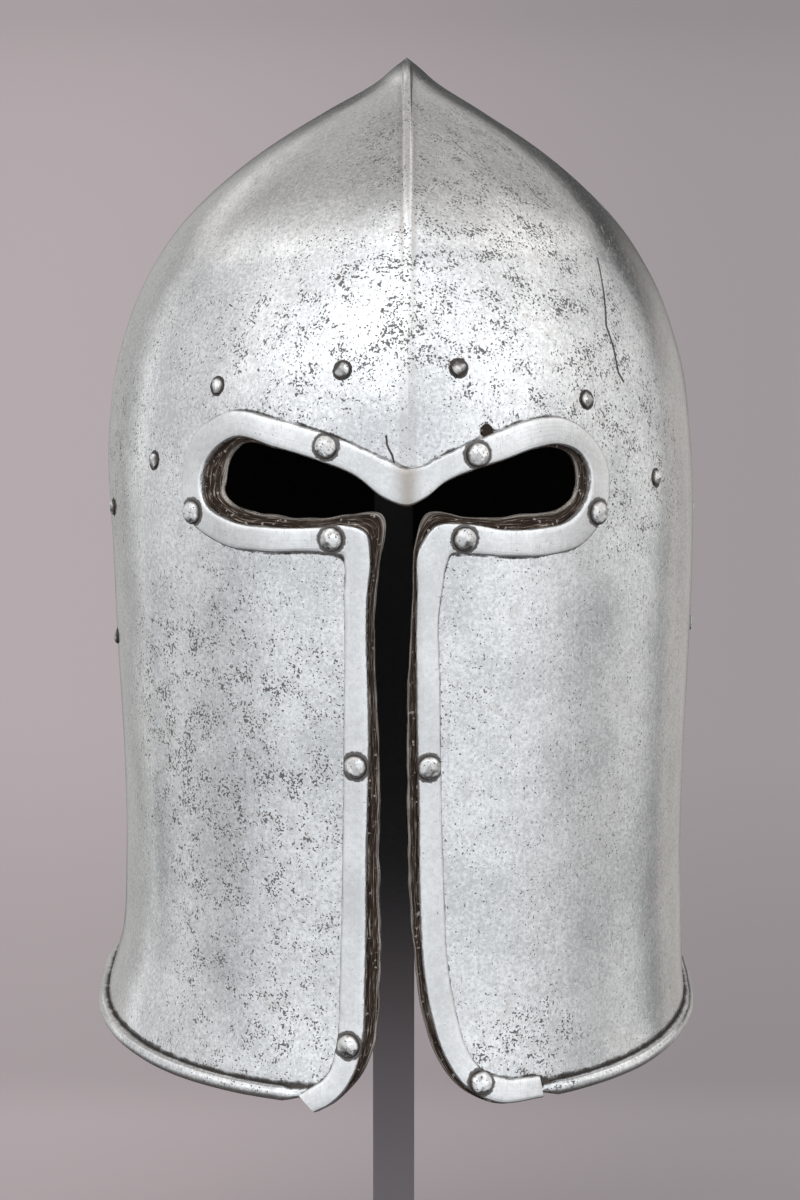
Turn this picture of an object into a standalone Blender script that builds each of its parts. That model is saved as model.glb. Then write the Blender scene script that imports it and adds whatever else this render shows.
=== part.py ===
"""Barbute helmet resting on a plain post stand.

Metres, +Z up. The face looks along -Y and +X is on the right of someone facing it.
The origin is at the middle of the underside of the stand's base plate.
"""

from collections import namedtuple
from math import asin, cos, pi, radians, sin, sqrt

import bmesh
import bpy
from mathutils import Matrix, Vector

# Helmet, overall. Heights are taken from the level of its front lower edge. The wall's
# inside is rounded off under the peak, from INNER_TOP, a share of SKULL_HEIGHT.
SKULL_HEIGHT = 0.309
SKULL_HALF_WIDTH = 0.0923
FRONT_DEPTH = 0.118
BACK_DEPTH = 0.112
PEAK_SETBACK = 0.012
RIDGE_OFFSET = 0.0019
REAR_RISE = 0.032
WALL = 0.002
PEAK_THICKNESS = 0.004
INNER_TOP = 0.96

# Outward roll along the lower edge
ROLL_RADIUS = 0.0023
ROLL_FADE = 0.004
ROLL_TO_BAND = 0.001

# Strip round the face opening
BAND_WIDTH = 0.0075
BAND_THICKNESS = 0.002
BAND_CHAMFER = 0.0005
EDGE_LAP = 0.0035

# Rivets. The foot of a head and the end of a clench are shares of their radius.
BAND_HEAD_RADIUS = 0.0037
BAND_HEAD_HEIGHT = 0.0022
LINING_HEAD_RADIUS = 0.0025
LINING_HEAD_HEIGHT = 0.0015
HEAD_FOOT = 0.97
SHANK_RADIUS = 0.0014
CLENCH_RADIUS = 0.0024
CLENCH_THICKNESS = 0.0008
CLENCH_END = 0.8
OPEN_HOLE_RADIUS = 0.0014

# Stand. CAP_RIM is the share of SKULL_HEIGHT from which the saddle fills the crown.
STAND_CLEARANCE = 0.112
POST_WIDTH = 0.0134
POST_SHIFT = -0.0024
POST_BEVEL = 0.0006
BASE_WIDTH = 0.170
BASE_THICKNESS = 0.008
BASE_BEVEL = 0.0015
CAP_DEPTH = 0.018
CAP_RIM = 0.93

# Gaps between neighbouring pieces
SEAT_GAP = 0.0003
CLENCH_GAP = 0.0009
SHANK_GAP = 0.0004
CAP_GAP = 0.0005

# Fineness of the facets
TURN_STEPS = 52
OUTLINE_STEPS = 2
ROLL_ANGLES = (-85, -40, 5, 50, 95, 140, 180)
BAND_HEAD_SIDES = 10
LINING_HEAD_SIDES = 8
DOME_ANGLES = (55, 20)
BORE_SIDES = 8
SHARP_ANGLE = 35

# How far the cutters reach past the walls that they cut, and in front of the face and
# below the lower edge. The opening's cutter ends at a share of FRONT_DEPTH.
CUTTER_REACH = 0.006
CUTTER_AHEAD = 0.030
CUTTER_BELOW = 0.020
CUTTER_END = 0.33

# Step for the skin's directions, and the search for a place on the front of the skin
SKIN_STEP = 0.001
PLACE_ROUNDS = 14
WIDEST_PLACE = 0.999

# Lengths are shares: height of SKULL_HEIGHT, half_width of SKULL_HALF_WIDTH,
# front of FRONT_DEPTH and back of BACK_DEPTH, both measured from the middle.
# keel runs from 0, an oval end, to 1, a sharp edge. fullness squares the oval. sway, a
# share of SKULL_HALF_WIDTH, moves both sides to the right. rows is the number of facet
# rows from a section up to the next.
Section = namedtuple(
    "Section", "height half_width front back front_keel back_keel fullness sway rows"
)
SECTIONS = (
    Section(-0.040, 1.018, 1.03, 1.14, 0.50, 0.10, 2.6, -0.020, 1),
    Section(0.000, 1.004, 1.02, 1.06, 0.50, 0.10, 2.6, -0.018, 1),
    Section(0.030, 0.987, 1.01, 0.98, 0.50, 0.10, 2.6, -0.011, 1),
    Section(0.070, 0.969, 1.00, 0.90, 0.50, 0.10, 2.6, 0.003, 1),
    Section(0.150, 0.958, 0.995, 0.86, 0.50, 0.10, 2.6, 0.008, 2),
    Section(0.260, 0.962, 0.995, 0.88, 0.50, 0.10, 2.6, 0.009, 1),
    Section(0.380, 0.981, 0.995, 0.93, 0.48, 0.10, 2.5, 0.008, 1),
    Section(0.500, 0.996, 0.985, 0.98, 0.40, 0.12, 2.4, 0.006, 2),
    Section(0.600, 1.000, 0.970, 1.00, 0.32, 0.14, 2.2, -0.004, 2),
    Section(0.700, 0.958, 0.925, 0.99, 0.26, 0.16, 2.1, -0.007, 2),
    Section(0.783, 0.852, 0.840, 0.94, 0.28, 0.20, 2.0, -0.007, 2),
    Section(0.845, 0.704, 0.735, 0.86, 0.34, 0.28, 2.0, -0.007, 2),
    Section(0.906, 0.470, 0.560, 0.735, 0.50, 0.50, 2.0, -0.006, 1),
    Section(0.947, 0.256, 0.395, 0.59, 0.70, 0.70, 2.0, -0.004, 1),
    Section(0.975, 0.100, 0.235, 0.43, 0.90, 0.90, 2.0, 0, 1),
    Section(0.992, 0.034, 0.080, 0.27, 1.00, 1.00, 2.0, 0, 1),
    Section(
        1.000, 0.000, -PEAK_SETBACK / FRONT_DEPTH, PEAK_SETBACK / BACK_DEPTH, 1.0, 1.0, 2.0, 0.0, 1
    ),
)
RIM_ROW = 1

# Height of the lower edge round the helmet: turn in degrees from the front,
# rise as a share of REAR_RISE.
EdgeHeight = namedtuple("EdgeHeight", "turn rise")
LOWER_EDGE = (
    EdgeHeight(0, 0.10),
    EdgeHeight(45, 0.11),
    EdgeHeight(58, 0.17),
    EdgeHeight(72, 0.27),
    EdgeHeight(90, 0.40),
    EdgeHeight(108, 0.56),
    EdgeHeight(135, 0.80),
    EdgeHeight(180, 1.00),
)

# The strip's inner edge seen from the front, from its left end up to the ridge and
# down to its right end. x is a share of SKULL_HALF_WIDTH and z of SKULL_HEIGHT. lean is
# the direction, in degrees, in which the strip lies from that edge, width a share of
# BAND_WIDTH, and lap, a share of EDGE_LAP, how far the bowl shows past the strip.
Edge = namedtuple("Edge", "x z lean width lap")
LEFT_EDGE = (
    Edge(-0.275, -0.006, 135, 0.88, 0.0),
    Edge(-0.226, 0.003, 138, 0.95, 0.0),
    Edge(-0.181, 0.017, 158, 0.92, 0.1),
    Edge(-0.149, 0.034, 175, 0.95, 0.5),
    Edge(-0.124, 0.062, 184, 1.00, 0.9),
    Edge(-0.112, 0.128, 184, 1.00, 1.1),
    Edge(-0.107, 0.255, 184, 0.95, 0.95),
    Edge(-0.099, 0.360, 184, 1.00, 0.65),
    Edge(-0.104, 0.500, 184, 0.92, 0.6),
    Edge(-0.095, 0.535, 203, 1.08, 0.8),
    Edge(-0.112, 0.561, 228, 1.32, 1.9),
    Edge(-0.179, 0.567, 240, 1.33, 1.05),
    Edge(-0.254, 0.564, 242, 1.15, 0.85),
    Edge(-0.418, 0.561, 252, 1.07, 1.1),
    Edge(-0.546, 0.564, 247, 1.04, 1.3),
    Edge(-0.627, 0.578, 225, 0.95, 1.75),
    Edge(-0.640, 0.600, 182, 0.78, 1.85),
    Edge(-0.604, 0.627, 140, 0.97, 1.4),
    Edge(-0.526, 0.644, 108, 1.03, 0.6),
    Edge(-0.398, 0.637, 90, 1.12, 0.1),
    Edge(-0.263, 0.627, 86, 1.12, 0.1),
    Edge(-0.150, 0.615, 66, 1.08, 0.1),
    Edge(-0.040, 0.592, 82, 1.46, 0.1),
)
NASAL_TIP = (Edge(RIDGE_OFFSET / SKULL_HALF_WIDTH, 0.587, 90, 1.46, 0.1),)
RIGHT_EDGE = (
    Edge(0.075, 0.594, 90, 1.30, 0.1),
    Edge(0.137, 0.608, 106, 1.00, 0.1),
    Edge(0.229, 0.619, 112, 1.03, 0.1),
    Edge(0.327, 0.627, 105, 1.15, 0.1),
    Edge(0.425, 0.636, 98, 1.15, 0.1),
    Edge(0.499, 0.638, 80, 1.05, 0.2),
    Edge(0.558, 0.631, 42, 0.80, 0.35),
    Edge(0.597, 0.615, 15, 0.75, 0.7),
    Edge(0.603, 0.598, -8, 0.83, 0.8),
    Edge(0.584, 0.580, -44, 1.03, 0.9),
    Edge(0.528, 0.564, -61, 1.15, 1.1),
    Edge(0.446, 0.560, -76, 1.15, 1.3),
    Edge(0.326, 0.561, -85, 1.10, 1.0),
    Edge(0.207, 0.568, -78, 1.25, 0.6),
    Edge(0.107, 0.567, -62, 1.30, 1.2),
    Edge(0.060, 0.549, -40, 1.30, 0.8),
    Edge(0.048, 0.500, -4, 0.95, 0.5),
    Edge(0.047, 0.402, -3, 0.93, 0.65),
    Edge(0.054, 0.296, -3, 0.90, 0.8),
    Edge(0.057, 0.205, 2, 0.97, 0.7),
    Edge(0.073, 0.130, 8, 0.97, 0.5),
    Edge(0.098, 0.089, 10, 0.97, 0.6),
    Edge(0.143, 0.049, 18, 0.90, 0.45),
    Edge(0.197, 0.024, 38, 0.88, 0.25),
    Edge(0.308, 0.003, 68, 0.98, 0.1),
    Edge(0.456, 0.002, 100, 0.88, 0.0),
)
FACE_EDGE = LEFT_EDGE + NASAL_TIP + RIGHT_EDGE

# Rivets of the strip: station counts the rows of FACE_EDGE from the left end, and
# across runs from 0 on the strip's inner edge to 1 on its outer edge.
BandRivet = namedtuple("BandRivet", "station across")
BAND_RIVETS = (
    BandRivet(20.20, 0.58),
    BandRivet(26.25, 0.50),
    BandRivet(15.05, 0.68),
    BandRivet(32.95, 0.68),
    BandRivet(11.15, 0.50),
    BandRivet(37.22, 0.50),
    BandRivet(6.77, 0.50),
    BandRivet(41.62, 0.45),
    BandRivet(4.00, 0.50),
    BandRivet(47.30, 0.50),
)

# Rivets of the lost lining: turn in degrees from the front, height as a share.
LiningRivet = namedtuple("LiningRivet", "turn height")
LINING_RIVETS = (
    LiningRivet(-17.4, 0.712),
    LiningRivet(15.3, 0.714),
    LiningRivet(-42.0, 0.690),
    LiningRivet(41.6, 0.677),
    LiningRivet(-57.5, 0.609),
    LiningRivet(60.0, 0.590),
    LiningRivet(-78.0, 0.545),
    LiningRivet(91.0, 0.529),
    LiningRivet(-83.0, 0.404),
    LiningRivet(89.0, 0.408),
    LiningRivet(-122.0, 0.530),
    LiningRivet(124.0, 0.530),
    LiningRivet(-155.0, 0.530),
    LiningRivet(157.0, 0.530),
)

# An empty hole above the right eye, as shares of SKULL_HALF_WIDTH and SKULL_HEIGHT.
OPEN_HOLE_X = 0.276
OPEN_HOLE_Z = 0.655


def smooth_row(rows, knots, place):
    """The row at a place between knots, on a smooth curve through all rows."""
    last = len(rows) - 2
    index = max(0, min(last, sum(knot <= place for knot in knots) - 1))

    def secant(start, column):
        start = max(0, min(last, start))
        span = knots[start + 1] - knots[start]
        return (rows[start + 1][column] - rows[start][column]) / span

    def slope(row, column):
        if row == 0 or row == last + 1:
            return secant(row, column)
        before = knots[row] - knots[row - 1]
        after = knots[row + 1] - knots[row]
        inner = secant(row - 1, column) * after + secant(row, column) * before
        return inner / (before + after)

    span = knots[index + 1] - knots[index]
    part = (place - knots[index]) / span
    values = []
    for column in range(len(rows[0])):
        start = rows[index][column]
        end = rows[index + 1][column]
        start_slope = slope(index, column) * span
        end_slope = slope(index + 1, column) * span
        value = (2 * part ** 3 - 3 * part ** 2 + 1) * start
        value += (part ** 3 - 2 * part ** 2 + part) * start_slope
        value += (3 * part ** 2 - 2 * part ** 3) * end
        value += (part ** 3 - part ** 2) * end_slope
        values.append(value)
    return type(rows[0])(*values)


SECTION_HEIGHTS = [section.height for section in SECTIONS]
EDGE_TURNS = [row.turn for row in LOWER_EDGE]


def edge_lengths():
    """Distance along the strip's inner edge to each row of FACE_EDGE."""
    lengths = [0.0]
    for before, after in zip(FACE_EDGE, FACE_EDGE[1:]):
        across = (after.x - before.x) * SKULL_HALF_WIDTH
        up = (after.z - before.z) * SKULL_HEIGHT
        lengths.append(lengths[-1] + sqrt(across ** 2 + up ** 2))
    return lengths


EDGE_LENGTHS = edge_lengths()


def side_reach(section, side_sign):
    """Distance along X from the ridge to one side of a section."""
    half_width = section.half_width * (side_sign * SKULL_HALF_WIDTH - RIDGE_OFFSET)
    return half_width + section.sway * SKULL_HALF_WIDTH


def skin_point(turn, height):
    """Point of the bowl's outer skin; turn in radians from the front, height a share."""
    section = smooth_row(SECTIONS, SECTION_HEIGHTS, height)
    middle = PEAK_SETBACK * height * abs(height)
    part = sin(turn) ** 2
    reach = abs(cos(turn)) ** (2 / section.fullness)
    if cos(turn) >= 0:
        keel = section.front_keel
        y = middle - (middle + section.front * FRONT_DEPTH) * reach
    else:
        keel = section.back_keel
        y = middle + (section.back * BACK_DEPTH - middle) * reach
    side = 0.0
    if part > 1e-12:
        side = 2 * part / (keel + sqrt(keel ** 2 + 4 * (1 - keel) * part))
    x = RIDGE_OFFSET + side * side_reach(section, 1 if sin(turn) >= 0 else -1)
    degrees_round = abs(turn) * 180 / pi
    rise = smooth_row(LOWER_EDGE, EDGE_TURNS, min(180.0, degrees_round)).rise * REAR_RISE
    z = height * SKULL_HEIGHT + rise * max(0.0, 1 - max(0.0, height)) ** 2
    return Vector((x, y, z))


def skin_frame(turn, height):
    """Outward normal and downward direction of the skin at a point."""
    if height > 1 - SKIN_STEP:
        return Vector((0, 0, 1)), Vector((0, -1, 0))
    upper = min(height + SKIN_STEP, 1 - SKIN_STEP / 10)
    lower = upper - 2 * SKIN_STEP
    round_way = skin_point(turn + SKIN_STEP, height) - skin_point(turn - SKIN_STEP, height)
    down = (skin_point(turn, lower) - skin_point(turn, upper)).normalized()
    normal = round_way.cross(-down).normalized()
    return normal, down


def lifted_point(turn, height, lift):
    """Point at a distance off the outer skin, along its normal."""
    normal, _ = skin_frame(turn, height)
    return skin_point(turn, height) + normal * lift


def face_place(x, z):
    """Turn and height of the front skin point seen at x and z from the front."""
    height = z / SKULL_HEIGHT
    turn = 0.0
    for _ in range(PLACE_ROUNDS):
        section = smooth_row(SECTIONS, SECTION_HEIGHTS, height)
        side_sign = 1 if x >= RIDGE_OFFSET else -1
        side = min(WIDEST_PLACE, (x - RIDGE_OFFSET) / side_reach(section, side_sign))
        part = section.front_keel * side + (1 - section.front_keel) * side ** 2
        turn = side_sign * asin(sqrt(part))
        height += (z - skin_point(turn, height).z) / SKULL_HEIGHT
    return turn, height


def face_point(x, z, lift):
    """Point over the front skin, at a distance along the skin's normal."""
    turn, height = face_place(x, z)
    return lifted_point(turn, height, lift)


def edge_row(station):
    """Row of FACE_EDGE at a fractional count of rows."""
    index = min(int(station), len(FACE_EDGE) - 2)
    start = EDGE_LENGTHS[index]
    place = start + (station - index) * (EDGE_LENGTHS[index + 1] - start)
    return smooth_row(FACE_EDGE, EDGE_LENGTHS, place)


def band_place(station, across):
    """x and z seen from the front of a point on the strip."""
    row = edge_row(station)
    reach = across * row.width * BAND_WIDTH
    lean = radians(row.lean)
    x = row.x * SKULL_HALF_WIDTH + reach * cos(lean)
    z = row.z * SKULL_HEIGHT + reach * sin(lean)
    return x, z


def opening_place(station):
    """x and z seen from the front of the bowl's own edge."""
    row = edge_row(station)
    lap = row.lap * EDGE_LAP
    lean = radians(row.lean)
    x = row.x * SKULL_HALF_WIDTH - lap * cos(lean)
    z = row.z * SKULL_HEIGHT - lap * sin(lean)
    return x, z


def outline_stations():
    """Places along FACE_EDGE at which the strip and the opening have a facet edge."""
    count = (len(FACE_EDGE) - 1) * OUTLINE_STEPS
    return [index / OUTLINE_STEPS for index in range(count + 1)]


def steel(name, colour, roughness, metallic=1.0):
    """Material of one piece or group of pieces."""
    material = bpy.data.materials.new(name)
    material.use_nodes = True
    shader = material.node_tree.nodes["Principled BSDF"]
    shader.inputs["Base Color"].default_value = (*colour, 1.0)
    shader.inputs["Roughness"].default_value = roughness
    shader.inputs["Metallic"].default_value = metallic
    return material


def new_object(name, mesh, material=None, parent=None):
    """Object for a mesh, with its material, under the given parent."""
    item = bpy.data.objects.new(name, mesh)
    bpy.context.collection.objects.link(item)
    item.parent = parent
    if material and not mesh.materials:
        mesh.materials.append(material)
    return item


def finish_mesh(name, bm):
    """Mesh from a closed bmesh, faces outward, round parts shaded smooth."""
    bmesh.ops.remove_doubles(bm, verts=bm.verts, dist=1e-6)
    bmesh.ops.recalc_face_normals(bm, faces=bm.faces)
    if bm.calc_volume(signed=True) < 0:
        bmesh.ops.reverse_faces(bm, faces=bm.faces)
    mesh = bpy.data.meshes.new(name)
    bm.to_mesh(mesh)
    bm.free()
    mesh.shade_smooth()
    mesh.set_sharp_from_angle(angle=radians(SHARP_ANGLE))
    return mesh


def wrapped_skin(rows, columns, place):
    """Grid of rows by columns laid over a shape by place(row, column).

    The last column meets the first. Open end rows are filled with one face each,
    and end rows that meet in a point are welded.
    """
    bm = bmesh.new()
    bmesh.ops.create_grid(bm, x_segments=columns, y_segments=rows - 1, size=1)
    for vert in bm.verts:
        column = round((vert.co.x + 1) / 2 * columns)
        row = round((vert.co.y + 1) / 2 * (rows - 1))
        vert.co = place(row, column % columns)
    bmesh.ops.remove_doubles(bm, verts=bm.verts, dist=1e-6)
    open_edges = [edge for edge in bm.edges if edge.is_boundary]
    if open_edges:
        bmesh.ops.holes_fill(bm, edges=open_edges, sides=0)
    return bm


def roll_start(x_limit):
    """Turn at which the lower edge passes a distance from the middle."""
    turn, _ = face_place(x_limit, SECTIONS[RIM_ROW].height * SKULL_HEIGHT)
    return turn


def roll_limits():
    """Distances from the middle at which the roll begins, just past the strip's ends."""
    last = len(FACE_EDGE) - 1
    left = min(band_place(0, 0)[0], band_place(0, 1)[0]) - ROLL_TO_BAND
    right = max(band_place(last, 0)[0], band_place(last, 1)[0]) + ROLL_TO_BAND
    return left, right


def turn_stations():
    """Turns of the bowl's columns, with one at each start of the roll."""
    turns = [2 * pi * index / TURN_STEPS for index in range(TURN_STEPS)]
    for limit in roll_limits():
        target = roll_start(limit) % (2 * pi)
        nearest = min(range(TURN_STEPS), key=lambda index: abs(turns[index] - target))
        turns[nearest] = target
    return [turn if turn <= pi else turn - 2 * pi for turn in turns]


def roll_radius(turn):
    """Radius of the lower edge: the full roll, or half the wall by the opening."""
    x = skin_point(turn, SECTIONS[RIM_ROW].height).x
    left, right = roll_limits()
    if cos(turn) < 0:
        past = ROLL_FADE
    else:
        past = max(left - x, x - right)
    grown = max(0.0, min(1.0, past / ROLL_FADE))
    return WALL / 2 + (ROLL_RADIUS - WALL / 2) * grown


def wall_heights():
    """Heights of the bowl's rows above the lower edge, from the sections."""
    heights = []
    for lower, upper in zip(SECTIONS[RIM_ROW:], SECTIONS[RIM_ROW + 1:]):
        for step in range(lower.rows):
            heights.append(lower.height + (upper.height - lower.height) * step / lower.rows)
    return heights[1:]


def inner_heights():
    """Heights of the inside's rows, which stop short of the narrow peak."""
    return [height for height in wall_heights() if height < INNER_TOP]


def peak_point(depth):
    """Point straight below the peak."""
    return skin_point(0.0, 1.0) - Vector((0, 0, depth))


def lower_edge_point(turn, angle):
    """Point round the roll, from the outer wall at -90 degrees to the inner at 180."""
    height = SECTIONS[RIM_ROW].height
    normal, down = skin_frame(turn, height)
    radius = roll_radius(turn)
    centre = skin_point(turn, height) + normal * (radius - WALL)
    around = radians(angle)
    return centre + (normal * cos(around) + down * sin(around)) * radius


def skull_skin():
    """Closed skin of the whole bowl: outside, roll and inside, before it is cut."""
    turns = turn_stations()
    outer = [("outer", height) for height in reversed(wall_heights())]
    roll = [("roll", angle) for angle in ROLL_ANGLES]
    inner = [("inner", height) for height in inner_heights()]
    rows = [("peak", 0.0)] + outer + roll + inner + [("peak", PEAK_THICKNESS)]

    def place(row, column):
        kind, value = rows[row]
        turn = turns[column]
        if kind == "peak":
            return peak_point(value)
        if kind == "outer":
            return skin_point(turn, value)
        if kind == "roll":
            return lower_edge_point(turn, value)
        return lifted_point(turn, value, -WALL)

    return wrapped_skin(len(rows), TURN_STEPS, place)


def opening_cutter():
    """Solid of the T-shaped opening: its sides stand square to the bowl's skin."""
    front = -FRONT_DEPTH - CUTTER_AHEAD
    back = -FRONT_DEPTH * CUTTER_END

    def column_at(x, z):
        outer = face_point(x, z, CUTTER_REACH)
        inner = face_point(x, z, -CUTTER_REACH)
        ahead = Vector((outer.x, front, outer.z))
        inside = Vector((inner.x, back, inner.z))
        return [ahead, outer, inner, inside]

    def foot_of(column):
        return [Vector((point.x, point.y, -CUTTER_BELOW)) for point in column]

    columns = [column_at(*opening_place(station)) for station in outline_stations()]
    columns = [foot_of(columns[0]), *columns, foot_of(columns[-1])]
    rows = len(columns[0])
    return wrapped_skin(rows, len(columns), lambda row, column: columns[column][row])


def band_solid():
    """The applied strip, one solid with square ends and slightly eased corners."""
    stations = outline_stations()
    under = SEAT_GAP
    top = SEAT_GAP + BAND_THICKNESS
    ease = BAND_CHAMFER / BAND_WIDTH
    profile = (
        (0.0, under),
        (0.0, top - BAND_CHAMFER),
        (ease, top),
        (1.0 - ease, top),
        (1.0, top - BAND_CHAMFER),
        (1.0, under),
    )

    def place(row, column):
        across, lift = profile[column]
        x, z = band_place(stations[row], across)
        return face_point(x, z, lift)

    return wrapped_skin(len(stations), len(profile), place)


def rivet_mesh(name, head_radius, head_height, seat, sides):
    """Rivet along +Z, with z = 0 on the bowl's outer skin."""
    inside = -WALL - CLENCH_GAP
    profile = [(0.0, seat + head_height)]
    for angle in DOME_ANGLES:
        around = radians(angle)
        profile.append((head_radius * cos(around), seat + head_height * sin(around)))
    profile += [
        (head_radius * HEAD_FOOT, seat),
        (SHANK_RADIUS, seat),
        (SHANK_RADIUS, inside),
        (CLENCH_RADIUS, inside),
        (CLENCH_RADIUS * CLENCH_END, inside - CLENCH_THICKNESS),
        (0.0, inside - CLENCH_THICKNESS),
    ]

    def place(row, column):
        radius, height = profile[row]
        around = 2 * pi * column / sides
        return Vector((radius * cos(around), radius * sin(around), height))

    return finish_mesh(name, wrapped_skin(len(profile), sides, place))


def rivet_matrix(turn, height):
    """Place of a rivet, with its axis square to the skin."""
    normal, _ = skin_frame(turn, height)
    turned = normal.to_track_quat("Z", "X").to_matrix().to_4x4()
    return Matrix.Translation(skin_point(turn, height)) @ turned


def bore_mesh(name, bores):
    """Round cutters, one for each matrix and radius."""
    bm = bmesh.new()
    for matrix, radius in bores:
        bmesh.ops.create_cone(
            bm,
            cap_ends=True,
            segments=BORE_SIDES,
            radius1=radius,
            radius2=radius,
            depth=2 * CUTTER_REACH,
            matrix=matrix,
        )
    return finish_mesh(name, bm)


def cut(item, cutter):
    """Difference of an object and a cutter that stays out of the picture."""
    modifier = item.modifiers.new("cut_" + cutter.name, "BOOLEAN")
    modifier.operation = "DIFFERENCE"
    modifier.solver = "EXACT"
    modifier.object = cutter
    cutter.hide_render = True
    cutter.display_type = "WIRE"


def saddle_floor():
    """Height of the saddle's flat underside, in the helmet's own frame."""
    return SKULL_HEIGHT - PEAK_THICKNESS - CAP_DEPTH


def cap_solid():
    """Plain saddle that fills the inside of the ridge and carries the crown."""
    heights = [height for height in inner_heights() if height > CAP_RIM]
    turns = turn_stations()
    rows = ["floor"] + heights + ["peak"]

    def place(row, column):
        if rows[row] == "peak":
            return peak_point(PEAK_THICKNESS + CAP_GAP)
        if rows[row] == "floor":
            rim = lifted_point(turns[column], heights[0], -WALL - CAP_GAP)
            return Vector((rim.x, rim.y, saddle_floor()))
        return lifted_point(turns[column], rows[row], -WALL - CAP_GAP)

    return wrapped_skin(len(rows), TURN_STEPS, place)


def box_mesh(name, size, bevel):
    """Box with its middle at the origin and eased edges."""
    bm = bmesh.new()
    bmesh.ops.create_cube(bm, size=1.0, matrix=Matrix.Diagonal((*size, 1.0)))
    bmesh.ops.bevel(
        bm,
        geom=bm.edges[:],
        affect="EDGES",
        offset=bevel,
        segments=1,
        profile=0.5,
    )
    return finish_mesh(name, bm)


def make_helmet(frame):
    """Bowl, strip and rivets, all under the helmet's own empty."""
    skull = steel("skull_steel", (0.60, 0.63, 0.64), 0.42)
    strip = steel("band_steel", (0.70, 0.72, 0.72), 0.36)
    rivet = steel("rivet_steel", (0.66, 0.67, 0.67), 0.34)
    shell = new_object("skull_shell", finish_mesh("skull_shell", skull_skin()), skull, frame)
    band = new_object("face_band", finish_mesh("face_band", band_solid()), strip, frame)
    opening = new_object("opening_cutter", finish_mesh("opening_cutter", opening_cutter()))
    opening.parent = frame

    band_places = [face_place(*band_place(*row)) for row in BAND_RIVETS]
    lining_places = [(radians(row.turn), row.height) for row in LINING_RIVETS]
    hole_place = face_place(OPEN_HOLE_X * SKULL_HALF_WIDTH, OPEN_HOLE_Z * SKULL_HEIGHT)
    bore = SHANK_RADIUS + SHANK_GAP
    through = [(rivet_matrix(*place), bore) for place in band_places]
    wall_only = [(rivet_matrix(*place), bore) for place in lining_places]
    wall_only.append((rivet_matrix(*hole_place), OPEN_HOLE_RADIUS))
    band_bores = new_object("band_bores", bore_mesh("band_bores", through), None, frame)
    wall_bores = new_object("wall_bores", bore_mesh("wall_bores", wall_only), None, frame)
    cut(shell, opening)
    cut(shell, band_bores)
    cut(shell, wall_bores)
    cut(band, band_bores)

    seat = SEAT_GAP + BAND_THICKNESS + SEAT_GAP
    domed = rivet_mesh("band_rivet", BAND_HEAD_RADIUS, BAND_HEAD_HEIGHT, seat, BAND_HEAD_SIDES)
    small = rivet_mesh(
        "lining_rivet", LINING_HEAD_RADIUS, LINING_HEAD_HEIGHT, SEAT_GAP, LINING_HEAD_SIDES
    )
    for kind, mesh, places in (("band", domed, band_places), ("lining", small, lining_places)):
        for number, place in enumerate(places, start=1):
            item = new_object(f"{kind}_rivet_{number:02d}", mesh, rivet, frame)
            item.matrix_local = rivet_matrix(*place)


def make_stand(frame):
    """Base plate, square post and the saddle under the crown."""
    grey = steel("stand_grey", (0.10, 0.095, 0.10), 0.55, 0.0)
    base = new_object(
        "stand_base",
        box_mesh("stand_base", (BASE_WIDTH, BASE_WIDTH, BASE_THICKNESS), BASE_BEVEL),
        grey,
    )
    base.location.z = BASE_THICKNESS / 2

    post_foot = BASE_THICKNESS + SEAT_GAP
    post_head = frame.location.z + saddle_floor() - SEAT_GAP
    post = new_object(
        "stand_post",
        box_mesh("stand_post", (POST_WIDTH, POST_WIDTH, post_head - post_foot), POST_BEVEL),
        grey,
    )
    post.location = (POST_SHIFT, frame.location.y + PEAK_SETBACK, (post_head + post_foot) / 2)
    new_object("stand_cap", finish_mesh("stand_cap", cap_solid()), grey, frame)


def main():
    for item in list(bpy.data.objects):
        bpy.data.objects.remove(item)
    rim = SECTIONS[RIM_ROW]
    front_reach = rim.front * FRONT_DEPTH + BAND_THICKNESS
    rear_reach = rim.back * BACK_DEPTH + 2 * ROLL_RADIUS - WALL
    frame = bpy.data.objects.new("helmet_frame", None)
    bpy.context.collection.objects.link(frame)
    frame.location = (0.0, (front_reach - rear_reach) / 2, STAND_CLEARANCE)
    make_helmet(frame)
    make_stand(frame)


main()
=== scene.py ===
"""Barbute helmet on a post stand: its finished surfaces, a plain studio and the camera.

Metres, +Z up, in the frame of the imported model. The face looks along -Y, +X is on the
right of someone facing it, and the origin is under the middle of the base plate.
"""

from collections import namedtuple
from functools import lru_cache
from math import asin, cos, pi, radians, sin, sqrt

import bmesh
import bpy
from bpy.props import FloatProperty, FloatVectorProperty, PointerProperty
from bpy.types import Operator, Panel, PropertyGroup
from mathutils import Matrix, Vector, noise
from mathutils.kdtree import KDTree


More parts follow.
